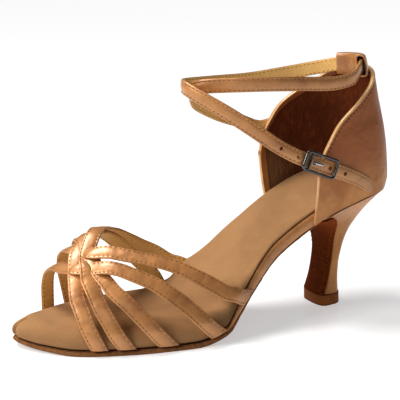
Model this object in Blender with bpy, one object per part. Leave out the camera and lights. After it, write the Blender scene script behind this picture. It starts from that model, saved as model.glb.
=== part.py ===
"""A ballroom dance sandal for the left foot, as an assembly of its maker's pieces.

The toe points along -X, the outer side faces -Y and the sandal stands on Z = 0. Lengths are in metres.
While a piece is worked out, x is measured from the tip of the toe and y from the middle of the heel;
the whole sandal is centred on its own box at the end.
"""
import math
from collections import namedtuple

import bmesh
import bpy
from mathutils import Vector

# Sole and seat
SOLE_LENGTH = 0.2060        # tip of the toe to the back of the seat, along the floor
BALL_WIDTH = 0.0745         # widest part of the sole
HEEL_RISE = 0.0612          # floor to the underside of the sole at the back
OUTSOLE_FORE = 0.0023       # thickness of the sole under the ball
OUTSOLE_WAIST = 0.0013      # and where it is skived for the waist
INSOLE_FORE = 0.0112        # padded insole under the ball
SOCK = 0.0016               # the same insole over the waist and seat
BOARD = 0.0054              # insole board at the waist
BOARD_NOSE = 0.0008         # its skived front edge
INSOLE_INSET = 0.0010       # insole and board edges inside the sole's edge
GAP = 0.0003                # clearance where two pieces touch

# Places along SOLE_LENGTH, as shares of it
RAMP_START = 0.400          # the insole starts to rise over the board
RAMP_END = 0.435            # and is clear of its nose from here
BALL_END = 0.460            # the sole starts to thin for the waist
WAIST_START = 0.580         # and is thin from here
CUP_FRONT = 0.744           # front edges of the heel cup
BREAST = 0.758              # the heel begins

# Heel
TIP_HEIGHT = 0.0056
TIP_OVERHANG = 0.0004       # tip outside the heel, all round
FLAP_THICKNESS = 0.0013
FLAP_BREAST = math.radians(46)  # half the heel's breast, where the flap follows it closely
HEEL_STEPS = 16             # levels up the heel, of which the flap covers all but the last

# Cup
CUP_HEIGHT = 0.0625         # seat to the top edge at the back
CUP_WALL = 0.0020

# Strap tunnel at the top of the cup
TUNNEL_HEIGHT = 0.0122
TUNNEL_DEPTH = 0.0062
TUNNEL_WALL = 0.0011
TUNNEL_HALF_SPAN = 0.0120
TUNNEL_RADIUS = 0.0165      # of its bend round the back of the ankle
TUNNEL_LEAN = 0.0018        # its top forward of its foot
TUNNEL_RISE = 0.0011        # its middle above the cup's top edge
TUNNEL_DROP = 0.0021        # its inner end below its outer end

# Straps
STRAP_WIDTH = 0.0082
STRAP_THICKNESS = 0.0016
STRAP_SLOPE = 0.3           # how much of the forefoot's slope towards the toe each strap takes up
STRAP_LEAN = 0.5            # and of its slope down to the inner side
STRAP_LAYER = 0.0007        # a strap's lift where it passes over another, and its dip where it passes under
ANKLE_WIDTH = 0.0074
ANKLE_THICKNESS = 0.0018
VAMP_HEIGHT = 0.0500        # sole to the top of the forefoot's shape
COLLAR_HEIGHT = 0.1250      # floor to the ankle strap

# Buckle
BUCKLE_LENGTH = 0.0216
BUCKLE_CORNER = 0.0020
BUCKLE_WIRE = 0.0014
BUCKLE_FRONT = 0.0076       # from the prong's hole forward to the end of the frame
KEEPER = 0.0034             # between the two bars over the strap
PRONG_WIRE = 0.0012
PRONG_REACH = 0.0040        # prong's tip past its hole
TAB_THICKNESS = 0.0011
TAB_WIDTH = 0.0066
TAB_FOLD = 0.0030           # from the held bar to where the fold closes
TAB_END = 0.0052            # from the prong's hole to the folded end
HOLE_RADIUS = 0.0011
HOLE_SPACING = 0.0103
HOLES_BEFORE = 2
HOLES_AFTER = 2
STRAP_TAIL = 0.0435         # from the prong's hole to the strap's pointed end
TAIL_END = 0.55             # width of the pointed end, as a share of the strap's

# One row for each section of the sole: its place along SOLE_LENGTH, its middle and width as shares of BALL_WIDTH,
# and the height of its underside as a share of HEEL_RISE
Station = namedtuple("Station", "along middle width rise")
SOLE = (
    Station(0.000, 0.185, 0.000, 0.050),
    Station(0.042, 0.126, 0.376, 0.020),
    Station(0.112, 0.078, 0.680, 0.000),
    Station(0.203, 0.050, 0.874, 0.000),
    Station(0.290, 0.020, 0.968, 0.000),
    Station(0.388, -0.012, 1.000, 0.000),
    Station(0.468, -0.029, 0.960, 0.062),
    Station(0.513, -0.024, 0.877, 0.190),
    Station(0.558, -0.018, 0.771, 0.327),
    Station(0.650, -0.009, 0.656, 0.596),
    Station(0.768, -0.002, 0.690, 0.827),
    Station(0.849, 0.000, 0.715, 0.928),
    Station(0.919, 0.000, 0.670, 0.980),
    Station(1.000, 0.000, 0.000, 1.000),
)


def curve(keys, values):
    """Returns a smooth function through the values, which never swings past them."""
    slopes = [(b - a) / (k - j) for a, b, j, k in zip(values, values[1:], keys, keys[1:])]
    tangents = [slopes[0]]
    for before, after in zip(slopes, slopes[1:]):
        same_way = before * after > 0
        tangents.append(2 * before * after / (before + after) if same_way else 0.0)
    tangents.append(slopes[-1])

    def at(key):
        key = min(max(key, keys[0]), keys[-1])
        i = max(n for n in range(len(keys) - 1) if keys[n] <= key)
        step = keys[i + 1] - keys[i]
        t = (key - keys[i]) / step
        return (
            values[i] * (1 + 2 * t) * (1 - t) ** 2
            + values[i + 1] * t * t * (3 - 2 * t)
            + step * tangents[i] * t * (1 - t) ** 2
            - step * tangents[i + 1] * t * t * (1 - t)
        )

    return at


def column(table, key, value):
    """Returns one column of a table as a smooth function of another."""
    return curve([getattr(row, key) for row in table], [getattr(row, value) for row in table])


def blend(start, end, share):
    return start + (end - start) * share


def ease(low, high, key):
    """Goes smoothly from 0 at low to 1 at high."""
    t = min(max((key - low) / (high - low), 0.0), 1.0)
    return t * t * (3 - 2 * t)


# The sole's outline is worked out over an angle, 0 at the toe and pi at the back, so that both ends are round.
def angle_of(along):
    return math.acos(1 - 2 * min(max(along, 0.0), 1.0))


def along_of(angle):
    return (1 - math.cos(angle)) / 2


middle_at = column(SOLE, "along", "middle")
rise_at = column(SOLE, "along", "rise")
width_over_angle = curve([angle_of(row.along) for row in SOLE], [row.width for row in SOLE])


def outline(angle, side):
    """A point of the sole's edge; side is -1 on the outer side and 1 on the inner side."""
    along = along_of(angle)
    half = width_over_angle(angle) / 2
    return Vector((along * SOLE_LENGTH, (middle_at(along) + side * half) * BALL_WIDTH))


def outline_normal(angle, side):
    """The outward direction of the sole's edge."""
    small = 0.004
    if angle < small:
        return Vector((-1.0, 0.0))
    if angle > math.pi - small:
        return Vector((1.0, 0.0))
    run = outline(angle + small, side) - outline(angle - small, side)
    return Vector((-run.y, run.x)).normalized() * side


def edge(angle, side, outward):
    """A point beside the sole's edge, moved outwards by a length."""
    return outline(angle, side) + outline_normal(angle, side) * outward


def lift(x, thickness):
    """The height above the floor of a layer that lies this far above the sole's underside."""
    along = x / SOLE_LENGTH
    small = 0.002
    slope = (rise_at(along + small) - rise_at(along - small)) * HEEL_RISE / (2 * small * SOLE_LENGTH)
    return rise_at(along) * HEEL_RISE + thickness * math.hypot(1.0, slope)


def outsole_top(x):
    return blend(OUTSOLE_FORE, OUTSOLE_WAIST, ease(BALL_END, WAIST_START, x / SOLE_LENGTH))


def board_top(x):
    thick = blend(BOARD_NOSE, BOARD, ease(BALL_END, WAIST_START, x / SOLE_LENGTH))
    return outsole_top(x) + GAP + thick


def insole_bottom(x):
    """Over the board where there is one, with a short ramp in front of the board's nose."""
    ramp = ease(RAMP_START, RAMP_END, x / SOLE_LENGTH)
    return outsole_top(x) + GAP + ramp * (board_top(x) - outsole_top(x))


def insole_top(x):
    fore = OUTSOLE_FORE + GAP + INSOLE_FORE
    waist = OUTSOLE_WAIST + GAP + BOARD + GAP + SOCK
    return blend(fore, waist, ease(BALL_END, WAIST_START, x / SOLE_LENGTH))


# Meshes
def new_object(name, mesh_data, colour, roughness, metallic=0.0):
    """Makes one closed named solid, with its own material."""
    mesh = bpy.data.meshes.new(name)
    mesh.from_pydata(*mesh_data)
    shape = bmesh.new()
    shape.from_mesh(mesh)
    bmesh.ops.remove_doubles(shape, verts=shape.verts, dist=1e-6)
    bmesh.ops.recalc_face_normals(shape, faces=shape.faces)
    shape.to_mesh(mesh)
    shape.free()
    mesh.shade_smooth()
    mesh.set_sharp_from_angle(angle=math.radians(40))
    material = bpy.data.materials.new(name)
    material.use_nodes = True
    shader = material.node_tree.nodes["Principled BSDF"]
    shader.inputs["Base Color"].default_value = (*colour, 1.0)
    shader.inputs["Roughness"].default_value = roughness
    shader.inputs["Metallic"].default_value = metallic
    mesh.materials.append(material)
    made = bpy.data.objects.new(name, mesh)
    bpy.context.scene.collection.objects.link(made)
    return made


def loft(rings, closed=False):
    """Joins rings of equally many points into one closed body, capped at both ends unless it runs round."""
    count = len(rings[0])
    points = [tuple(point) for ring in rings for point in ring]
    faces = []
    last = len(rings) if closed else len(rings) - 1
    for i in range(last):
        here, there = i * count, (i + 1) % len(rings) * count
        for j in range(count):
            k = (j + 1) % count
            faces.append((here + j, here + k, there + k, there + j))
    if not closed:
        faces.append(tuple(range(count)))
        faces.append(tuple(range(len(points) - count, len(points))))
    return points, [], faces


def sole_angles(first, last, count=54):
    """Places along the sole that all its layers share, closer together at the round ends."""
    start, end = angle_of(first), angle_of(last)
    close = 0.2 * math.pi / count
    shared = [math.pi * i / count for i in range(count + 1)]
    return [start] + [angle for angle in shared if start + close < angle < end - close] + [end]


def slab_ring(angle, profile, bottom, top, columns=0):
    """One section across a layer of the sole.

    profile lists (outward length, share of the layer's thickness) from its bottom edge up to its top edge.
    """
    sides = {}
    for side in (-1, 1):
        sides[side] = []
        for outward, share in profile:
            place = edge(angle, side, outward)
            height = blend(lift(place.x, bottom(place.x)), lift(place.x, top(place.x)), share)
            sides[side].append(Vector((place.x, place.y, height)))
    across = []
    for i in range(columns):
        place = sides[-1][-1].lerp(sides[1][-1], (i + 1) / (columns + 1))
        across.append(Vector((place.x, place.y, lift(place.x, top(place.x)))))
    return sides[-1] + across + sides[1][::-1]


# The woven straps lie on the shape of a forefoot. One row for each place round its section, from the outer
# side over the top to the inner side: share of the width, and share of the height there
Arch = namedtuple("Arch", "turn across up")
ARCH = (
    Arch(0.00, -0.500, 0.00),
    Arch(0.10, -0.500, 0.15),
    Arch(0.25, -0.430, 0.44),
    Arch(0.40, -0.260, 0.74),
    Arch(0.55, -0.030, 0.92),
    Arch(0.70, 0.200, 0.97),
    Arch(0.82, 0.390, 0.86),
    Arch(0.92, 0.490, 0.56),
    Arch(1.00, 0.500, 0.00),
)
# And one row for each place along the forefoot: its height as a share of VAMP_HEIGHT
Instep = namedtuple("Instep", "along height")
INSTEP = (
    Instep(0.05, 0.47),
    Instep(0.11, 0.60),
    Instep(0.18, 0.87),
    Instep(0.24, 1.01),
    Instep(0.33, 1.045),
    Instep(0.43, 1.01),
    Instep(0.56, 1.00),
)
across_at = column(ARCH, "turn", "across")
up_at = column(ARCH, "turn", "up")
instep_at = column(INSTEP, "along", "height")


def vamp(along, turn):
    """A point on the shape of the forefoot; turn is 0 on the outer side and 1 on the inner side."""
    angle = angle_of(along)
    beside = STRAP_THICKNESS / 2 + 2 * GAP - INSOLE_INSET
    place = edge(angle, -1, beside).lerp(edge(angle, 1, beside), across_at(turn) + 0.5)
    base = lift(place.x, outsole_top(place.x) + 3 * GAP)
    return Vector((place.x, place.y, base + up_at(turn) * instep_at(along) * VAMP_HEIGHT))


SATIN = (0.60, 0.36, 0.21)
NUBUCK = (0.40, 0.25, 0.13)
SUEDE = (0.16, 0.07, 0.035)
CHROME = (0.55, 0.55, 0.56)


def make_outsole():
    profile = ((0.0, 0.0), (0.0, 1.0))
    rings = [
        slab_ring(angle, profile, lambda x: 0.0, outsole_top)
        for angle in sole_angles(0.0, BREAST)
    ]
    return new_object("outsole", loft(rings), SUEDE, 0.95)


def make_board():
    profile = ((-1.3 * INSOLE_INSET, 0.0), (-INSOLE_INSET, 0.35), (-INSOLE_INSET, 1.0))
    rings = [
        slab_ring(angle, profile, lambda x: outsole_top(x) + GAP, board_top)
        for angle in sole_angles(BALL_END, 1.0)
    ]
    return new_object("waist_board", loft(rings), SATIN, 0.4)


# The rounded edge of the insole, from its bottom up: length in from the sole's edge and share of its thickness
InsoleEdge = namedtuple("InsoleEdge", "inset height")
INSOLE_EDGE = (
    InsoleEdge(0.0028, 0.00),
    InsoleEdge(0.0012, 0.12),
    InsoleEdge(0.0010, 0.38),
    InsoleEdge(0.0018, 0.65),
    InsoleEdge(0.0038, 0.87),
    InsoleEdge(0.0078, 1.00),
)


def insole_ring(angle):
    x = outline(angle, 1).x
    full = (insole_top(x) - insole_bottom(x)) / INSOLE_FORE
    rounding = blend(0.25, 1.0, min(full, 1.0))
    profile = [
        (-(INSOLE_INSET + (row.inset - INSOLE_INSET) * rounding), row.height)
        for row in INSOLE_EDGE
    ]
    return slab_ring(angle, profile, insole_bottom, insole_top, columns=2)


def make_insole():
    rings = [insole_ring(angle) for angle in sole_angles(0.0, 1.0)]
    return new_object("insole", loft(rings), NUBUCK, 0.9)


# Cup. One row for each level up its wall, as a share of CUP_HEIGHT: how far the wall stands outside its foot,
# round the back and at the front edges, as shares of CUP_HEIGHT
CupLevel = namedtuple("CupLevel", "up back front")
CUP = (
    CupLevel(0.00, 0.000, 0.000),
    CupLevel(0.10, 0.022, 0.030),
    CupLevel(0.30, 0.014, 0.075),
    CupLevel(0.50, -0.004, 0.098),
    CupLevel(0.75, -0.052, 0.100),
    CupLevel(1.00, -0.090, 0.090),
)
# And one row for each place along its top edge, from the front to the back of the seat
CupRim = namedtuple("CupRim", "along height")
CUP_RIM = (
    CupRim(0.744, 0.450),
    CupRim(0.751, 0.560),
    CupRim(0.772, 0.655),
    CupRim(0.807, 0.765),
    CupRim(0.875, 0.850),
    CupRim(0.935, 0.935),
    CupRim(1.000, 1.000),
)
cup_back_at = column(CUP, "up", "back")
cup_front_at = column(CUP, "up", "front")
cup_rim_at = column(CUP_RIM, "along", "height")


def cup_point(angle, side, height, outward=0.0):
    """A point of the cup's inner face, this far above its foot, or outside that face by a length."""
    up = height / CUP_HEIGHT
    fore = 1.0 - ease(CUP_FRONT, 1.0, along_of(angle))
    stand = blend(cup_back_at(up), cup_front_at(up), fore) * CUP_HEIGHT
    place = edge(angle, side, GAP - INSOLE_INSET + stand + outward)
    foot = outline(angle, side)
    return Vector((place.x, place.y, lift(foot.x, outsole_top(foot.x) + GAP) + height))


def cup_ring(angle, side):
    """One section through the cup's wall."""
    rim = cup_rim_at(along_of(angle)) * CUP_HEIGHT
    steps = 7
    inner = [cup_point(angle, side, rim * i / steps) for i in range(steps + 1)]
    outer = [cup_point(angle, side, rim * i / steps, CUP_WALL) for i in range(steps + 1)]
    return inner + outer[::-1]


def make_cup():
    angles = sole_angles(CUP_FRONT, 1.0)
    rings = [cup_ring(angle, -1) for angle in angles]
    rings += [cup_ring(angle, 1) for angle in reversed(angles[:-1])]
    return new_object("heel_counter", loft(rings), SATIN, 0.4)


# Heel. One row for each level, from the tip up to the seat: its back and front as shares of the seat's length,
# forward of the seat's back; its width as a share of the seat's; how square its front is, where 2 is an ellipse;
# and where the suede flap begins, in degrees round from the middle of the back
HeelLevel = namedtuple("HeelLevel", "up back front width square flap")
HEEL = (
    HeelLevel(0.00, 0.529, 0.784, 0.350, 4.4, 131),
    HeelLevel(0.15, 0.538, 0.732, 0.335, 4.0, 128),
    HeelLevel(0.30, 0.528, 0.702, 0.330, 3.6, 126),
    HeelLevel(0.45, 0.482, 0.683, 0.335, 3.6, 124),
    HeelLevel(0.60, 0.408, 0.700, 0.380, 3.6, 121),
    HeelLevel(0.75, 0.273, 0.763, 0.520, 4.0, 118),
    HeelLevel(0.88, 0.152, 0.890, 0.760, 5.3, 117),
    HeelLevel(1.00, 0.000, 1.000, 1.000, 9.0, 120),
)
SEAT_FRONT = BREAST * SOLE_LENGTH + GAP
SEAT_BACK = SOLE_LENGTH - INSOLE_INSET + GAP + CUP_WALL
SEAT_WIDTH = 0.72 * BALL_WIDTH - 2 * INSOLE_INSET + 2 * (GAP + CUP_WALL)
HEEL_AT = {name: column(HEEL, "up", name) for name in HeelLevel._fields[1:]}


def heel_point(turn, up, outward=0.0):
    """A point of the heel's side; turn is 0 at the back and pi at the breast, and up is 0 at the tip."""
    length = SEAT_BACK - SEAT_FRONT
    back = SEAT_BACK - HEEL_AT["back"](up) * length
    front = SEAT_BACK - HEEL_AT["front"](up) * length
    half = HEEL_AT["width"](up) * SEAT_WIDTH / 2
    widest = blend(front, back, 0.45)
    cos, sin = math.cos(turn), math.sin(turn)
    if cos >= 0:
        x = widest + (back - widest + outward) * cos
        y = (half + outward) * sin
    else:
        square = HEEL_AT["square"](up)
        reach = (abs(cos) ** square + abs(sin) ** square) ** (1 / square)
        x = widest + (widest - front + outward) * cos / reach
        y = (half + outward) * sin / reach
    seat = lift(x, outsole_top(x))
    return Vector((x, y, blend(TIP_HEIGHT + GAP, seat, up)))


FULL_TURN = [2 * math.pi * i / 40 for i in range(40)]


def make_heel():
    rings = [[heel_point(turn, i / HEEL_STEPS) for turn in FULL_TURN] for i in range(HEEL_STEPS + 1)]
    return new_object("heel", loft(rings), SATIN, 0.4)


def make_flap():
    """The suede on the heel's breast, wrapped a little round its sides."""
    breast = [turn for turn in FULL_TURN if abs(turn - math.pi) < FLAP_BREAST]
    rings = []
    for i in range(HEEL_STEPS):
        up = i / HEEL_STEPS
        first = math.radians(HEEL_AT["flap"](up)) + 0.12 * ease(0.85, 1.0, i / (HEEL_STEPS - 1))
        side = [first, (first + breast[0]) / 2]
        turns = side + breast + [2 * math.pi - turn for turn in reversed(side)]
        inner = [heel_point(turn, up, GAP) for turn in turns]
        outer = [heel_point(turn, up, GAP + FLAP_THICKNESS) for turn in turns]
        for inside, outside in zip(inner, outer):
            outside.z = inside.z
        rings.append(outer + inner[::-1])
    return new_object("heel_flap", loft(rings), SUEDE, 0.95)


def make_heel_tip():
    rings = []
    for height in (0.0, TIP_HEIGHT):
        ring = []
        for turn in FULL_TURN:
            cover = GAP + FLAP_THICKNESS if math.cos(turn) < 0 else 0.0
            point = heel_point(turn, 0.0, TIP_OVERHANG + cover * abs(math.cos(turn)))
            ring.append(Vector((point.x, point.y, height)))
        rings.append(ring)
    return new_object("heel_tip", loft(rings), SUEDE, 0.5)


# Toe straps. One table for each strap, from the sole's outer edge over the foot to its inner edge: its place along
# the sole, its turn round the forefoot, its layer where it crosses another, 1 over and -1 under, and how many
# degrees its face is rolled towards the toe and the outer side
Weave = namedtuple("Weave", "along turn layer roll")
TOE_STRAPS = (
    (
        Weave(0.154, 0.00, 0, 0),
        Weave(0.133, 0.22, 0, 0),
        Weave(0.130, 0.36, 0, 0),
        Weave(0.144, 0.49, -1, 0),
        Weave(0.172, 0.62, 1, 0),
        Weave(0.238, 0.76, -1, 0),
        Weave(0.338, 0.89, 0, 0),
        Weave(0.436, 0.97, 0, 0),
        Weave(0.458, 1.00, 0, 0),
    ),
    (
        Weave(0.215, 0.00, 0, 0),
        Weave(0.186, 0.15, 0, 0),
        Weave(0.168, 0.30, 0, 0),
        Weave(0.164, 0.41, 1, 0),
        Weave(0.172, 0.48, 1, -8),
        Weave(0.186, 0.56, -1, -15),
        Weave(0.237, 0.69, 1, -8),
        Weave(0.323, 0.84, 0, 0),
        Weave(0.424, 0.92, 0, 0),
        Weave(0.537, 1.00, 0, 0),
    ),
    (
        Weave(0.313, 0.00, 0, 0),
        Weave(0.268, 0.14, 0, 0),
        Weave(0.233, 0.24, 0, 0),
        Weave(0.203, 0.34, -1, 0),
        Weave(0.191, 0.46, -1.6, 0),
        Weave(0.196, 0.60, -1, 0),
        Weave(0.220, 0.82, 0, 0),
        Weave(0.250, 1.00, 0, 0),
    ),
    (
        Weave(0.443, 0.00, 0, 0),
        Weave(0.393, 0.15, 0, 0),
        Weave(0.312, 0.30, 0, 0),
        Weave(0.254, 0.37, 0, 0),
        Weave(0.210, 0.43, 0.6, 5),
        Weave(0.179, 0.48, -0.8, 10),
        Weave(0.153, 0.55, 1, 14),
        Weave(0.138, 0.68, 0, 10),
        Weave(0.136, 0.82, 0, 0),
        Weave(0.134, 1.00, 0, 0),
    ),
    (
        Weave(0.540, 0.00, 0, 0),
        Weave(0.470, 0.21, 0, 0),
        Weave(0.400, 0.34, 0, 0),
        Weave(0.321, 0.41, 0, 0),
        Weave(0.252, 0.47, 0, 8),
        Weave(0.197, 0.55, 1, 14),
        Weave(0.180, 0.65, -1, 12),
        Weave(0.178, 0.78, 0, 0),
        Weave(0.184, 0.90, 0, 0),
        Weave(0.210, 1.00, 0, 0),
    ),
)


def strap_section(route, key, last):
    """Four corners of a toe strap's section at a place along its route."""
    small = 0.01
    along, turn = route["along"](key), route["turn"](key)
    here = vamp(along, turn)
    forth = vamp(along + small, turn) - vamp(along - small, turn)
    around = vamp(along, min(turn + small, 1.0)) - vamp(along, max(turn - small, 0.0))
    ahead = vamp(route["along"](key + small), route["turn"](key + small))
    behind = vamp(route["along"](key - small), route["turn"](key - small))
    run = (ahead - behind).normalized()
    outwards = forth.cross(around).normalized()
    free = ease(0.3, 0.8, up_at(turn))
    outwards.x *= blend(1.0, STRAP_SLOPE, free)
    outwards.y *= blend(1.0, STRAP_LEAN, free * ease(0.5, 0.75, turn))
    outwards = (outwards - run * outwards.dot(run)).normalized()
    if outwards.dot(here - Vector((here.x, 0.0, 0.0))) < 0:
        outwards.negate()
    roll = math.radians(route["roll"](key))
    outwards = outwards * math.cos(roll) + outwards.cross(run) * math.sin(roll)
    across = outwards.cross(run)
    # The ends are cut along the sole's edge
    from_end = min(key, last - key)
    if from_end < 1.0:
        across = across + run * ((1 - ease(0.0, 1.0, from_end)) * forth.dot(run) / forth.dot(across))
    middle = here + outwards * (route["layer"](key) * STRAP_LAYER)
    side, up = across * (STRAP_WIDTH / 2), outwards * (STRAP_THICKNESS / 2)
    return [middle - side - up, middle + side - up, middle + side + up, middle - side + up]


def strap_route(rows):
    keys = list(range(len(rows)))
    return {name: curve(keys, [getattr(row, name) for row in rows]) for name in Weave._fields}


def make_toe_straps():
    """The five straps, fused where they cross."""
    bands = []
    for number, rows in enumerate(TOE_STRAPS):
        route = strap_route(rows)
        last = len(rows) - 1
        rings = [strap_section(route, i / 4, last) for i in range(4 * last + 1)]
        bands.append(new_object("toe_straps" if number == 0 else f"band_{number}", loft(rings), SATIN, 0.4))
    return cut(bands[0], bands[1:], "UNION")


# Ankle strap, from the inner wing of the cup round the ankle: x from the toe, y and height, as shares of
# SOLE_LENGTH, BALL_WIDTH and COLLAR_HEIGHT
Turn = namedtuple("Turn", "along across up")
FIRST_ROUND = (
    Turn(0.695, 0.415, 0.767),
    Turn(0.607, 0.300, 0.827),
    Turn(0.543, 0.205, 0.880),
    Turn(0.500, 0.110, 0.922),
    Turn(0.478, 0.030, 0.962),
    Turn(0.468, -0.050, 0.990),
    Turn(0.482, -0.130, 1.008),
    Turn(0.520, -0.210, 1.013),
    Turn(0.605, -0.320, 1.013),
    Turn(0.710, -0.355, 1.000),
    Turn(0.808, -0.350, 0.984),
    Turn(0.868, -0.320, 0.992),
    Turn(0.898, -0.255, 1.008),
)
SECOND_ROUND = (
    Turn(0.886, 0.250, 0.986),
    Turn(0.820, 0.320, 0.970),
    Turn(0.703, 0.325, 0.960),
    Turn(0.600, 0.245, 0.973),
    Turn(0.520, 0.110, 0.992),
    Turn(0.466, 0.020, 1.004),
    Turn(0.441, -0.060, 1.010),
    Turn(0.445, -0.150, 0.998),
    Turn(0.464, -0.235, 0.972),
    Turn(0.490, -0.310, 0.940),
    Turn(0.528, -0.385, 0.892),
    Turn(0.572, -0.440, 0.835),
    Turn(0.622, -0.485, 0.771),
)
# The straight stretch that the buckle lies on
BUCKLE_RUN = (Turn(0.668, -0.506, 0.725), Turn(0.793, -0.481, 0.633))
# Places on the cup as shares of the sole's length and of CUP_HEIGHT: where the strap begins on the inner wing,
# where its tail lies and where the buckle's tab is sewn on the outer wing
Sewn = namedtuple("Sewn", "along up")
STRAP_START = (Sewn(0.825, 0.560), Sewn(0.790, 0.600), Sewn(0.752, 0.645))
STRAP_END = (Sewn(0.855, 0.225), Sewn(0.897, 0.095))
TAB_SEAM = (Sewn(0.808, 0.335), Sewn(0.785, 0.405))


def turn_point(row):
    return Vector((row.along * SOLE_LENGTH, row.across * BALL_WIDTH, row.up * COLLAR_HEIGHT))


def on_cup(row, side, outward):
    """A point this far outside the cup's outer face."""
    return cup_point(angle_of(row.along), side, row.up * CUP_HEIGHT, CUP_WALL + outward)


def curve_through(keys, values):
    """Returns a smooth function through the values, with the slope at each taken from its neighbours."""
    tangents = []
    for i in range(len(keys)):
        low, high = max(i - 1, 0), min(i + 1, len(keys) - 1)
        tangents.append((values[high] - values[low]) / (keys[high] - keys[low]))

    def at(key):
        i = max([n for n in range(len(keys) - 1) if keys[n] <= key] or [0])
        step = keys[i + 1] - keys[i]
        t = (key - keys[i]) / step
        return (
            values[i] * (1 + 2 * t) * (1 - t) ** 2
            + values[i + 1] * t * t * (3 - 2 * t)
            + step * tangents[i] * t * (1 - t) ** 2
            - step * tangents[i + 1] * t * t * (1 - t)
        )

    return at


class Band:
    """A flat band along a smooth curve through points, standing on its edge."""

    def __init__(self, points):
        keys = [0.0]
        for before, after in zip(points, points[1:]):
            keys.append(keys[-1] + (after - before).length)
        self.length = keys[-1]
        self.axes = [curve_through(keys, [point[i] for point in points]) for i in range(3)]

    def point(self, key):
        return Vector([axis(key) for axis in self.axes])

    def directions(self, key):
        """The directions along the band, up across its width, and out of its face away from the ankle."""
        small = 0.0004
        low, high = max(key - small, 0.0), min(key + small, self.length)
        run = (self.point(high) - self.point(low)).normalized()
        across = (Vector((0, 0, 1)) - run * run.z).normalized()
        return run, across, run.cross(across)

    def section(self, key, width, thickness):
        point = self.point(key)
        _, across, out = self.directions(key)
        up, side = across * (width / 2), out * (thickness / 2)
        return [point - up - side, point + up - side, point + up + side, point - up + side]


# Strap tunnel
TUNNEL_SWEEP = math.asin(TUNNEL_HALF_SPAN / TUNNEL_RADIUS)


def tunnel_point(turn, outward=0.0, up=0.0):
    """A point on the bend of the strap tunnel; turn is negative on the outer side."""
    back = cup_point(math.pi, 1, CUP_HEIGHT)
    middle = back.x - 2 * GAP - TUNNEL_DEPTH / 2 - TUNNEL_RADIUS
    radius = TUNNEL_RADIUS + outward - TUNNEL_LEAN * up / TUNNEL_HEIGHT
    height = back.z + TUNNEL_RISE + up - TUNNEL_DROP * turn / (2 * TUNNEL_SWEEP)
    return Vector((middle + radius * math.cos(turn), radius * math.sin(turn), height))


def make_tunnel():
    """A flat sleeve, open at both ends."""
    corners = 16
    turns = [blend(-TUNNEL_SWEEP, TUNNEL_SWEEP, i / 8) for i in range(9)]
    thin = 1 - 2 * TUNNEL_WALL / TUNNEL_DEPTH
    low = 1 - 2 * TUNNEL_WALL / TUNNEL_HEIGHT
    walls = []
    for i in range(corners):
        corner = 2 * math.pi * i / corners
        across = math.copysign(abs(math.cos(corner)) ** 0.5, math.cos(corner)) * TUNNEL_DEPTH / 2
        up = math.copysign(abs(math.sin(corner)) ** 0.5, math.sin(corner)) * TUNNEL_HEIGHT / 2
        outer = [tunnel_point(turn, across, up) for turn in turns]
        inner = [tunnel_point(turn, across * thin, up * low) for turn in turns]
        walls.append(outer + inner[::-1])
    return new_object("strap_tunnel", loft(walls, closed=True), SATIN, 0.4)


def ankle_band():
    near = 2 * GAP + ANKLE_THICKNESS / 2
    points = [on_cup(row, 1, near) for row in STRAP_START]
    points += [turn_point(row) for row in FIRST_ROUND]
    points += [tunnel_point(TUNNEL_SWEEP * share) for share in (-0.9, -0.45, 0.0, 0.45, 0.9)]
    points += [turn_point(row) for row in SECOND_ROUND]
    start, end = [turn_point(row) for row in BUCKLE_RUN]
    points += [start.lerp(end, i / 4) for i in range(5)]
    points += [on_cup(row, -1, near + 0.6 * TAB_THICKNESS / number) for number, row in enumerate(STRAP_END, 1)]
    return Band(points)


ANKLE_BAND = ankle_band()
PRONG_KEY = ANKLE_BAND.length - STRAP_TAIL


def by_buckle(along, across, out):
    """A point near the buckle, from the middle of the strap at the prong's hole."""
    point = ANKLE_BAND.point(PRONG_KEY)
    run, up, face = ANKLE_BAND.directions(PRONG_KEY)
    return point + run * along + up * across + face * out


def cut(whole, tools, operation):
    """Joins, or cuts away, other shapes that stay out of the model."""
    for tool in tools:
        step = whole.modifiers.new(tool.name, "BOOLEAN")
        step.operation = operation
        step.solver = "EXACT"
        step.object = tool
        tool.hide_render = True
        tool.display_type = "WIRE"
    return whole


def wire(name, path, radius, flat, closed=False, sides=8):
    """A round wire along a path that lies in the plane across the direction flat."""
    rings = []
    last = len(path) - 1
    for i, point in enumerate(path):
        before = path[i - 1] if i or closed else point
        after = path[(i + 1) % len(path)] if i < last or closed else point
        side = (after - before).normalized().cross(flat).normalized()
        turns = [2 * math.pi * j / sides for j in range(sides)]
        rings.append([point + (side * math.cos(a) + flat * math.sin(a)) * radius for a in turns])
    return new_object(name, loft(rings, closed), CHROME, 0.25, 1.0)


def make_ankle_strap():
    steps = 112
    rings = []
    for i in range(steps + 1):
        key = ANKLE_BAND.length * i / steps
        share = min(1.0, TAIL_END + (ANKLE_BAND.length - key) / ANKLE_WIDTH)
        rings.append(ANKLE_BAND.section(key, ANKLE_WIDTH * share, ANKLE_THICKNESS))
    strap = new_object("ankle_strap", loft(rings), SATIN, 0.4)
    punches = []
    for i in range(-HOLES_BEFORE, HOLES_AFTER + 1):
        key = PRONG_KEY + i * HOLE_SPACING
        _, up, out = ANKLE_BAND.directions(key)
        middle = ANKLE_BAND.point(key)
        path = [middle - out * ANKLE_THICKNESS, middle + out * ANKLE_THICKNESS]
        punches.append(wire(f"punch_{i + HOLES_BEFORE}", path, HOLE_RADIUS, up, sides=10))
    return cut(strap, punches, "DIFFERENCE")


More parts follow.
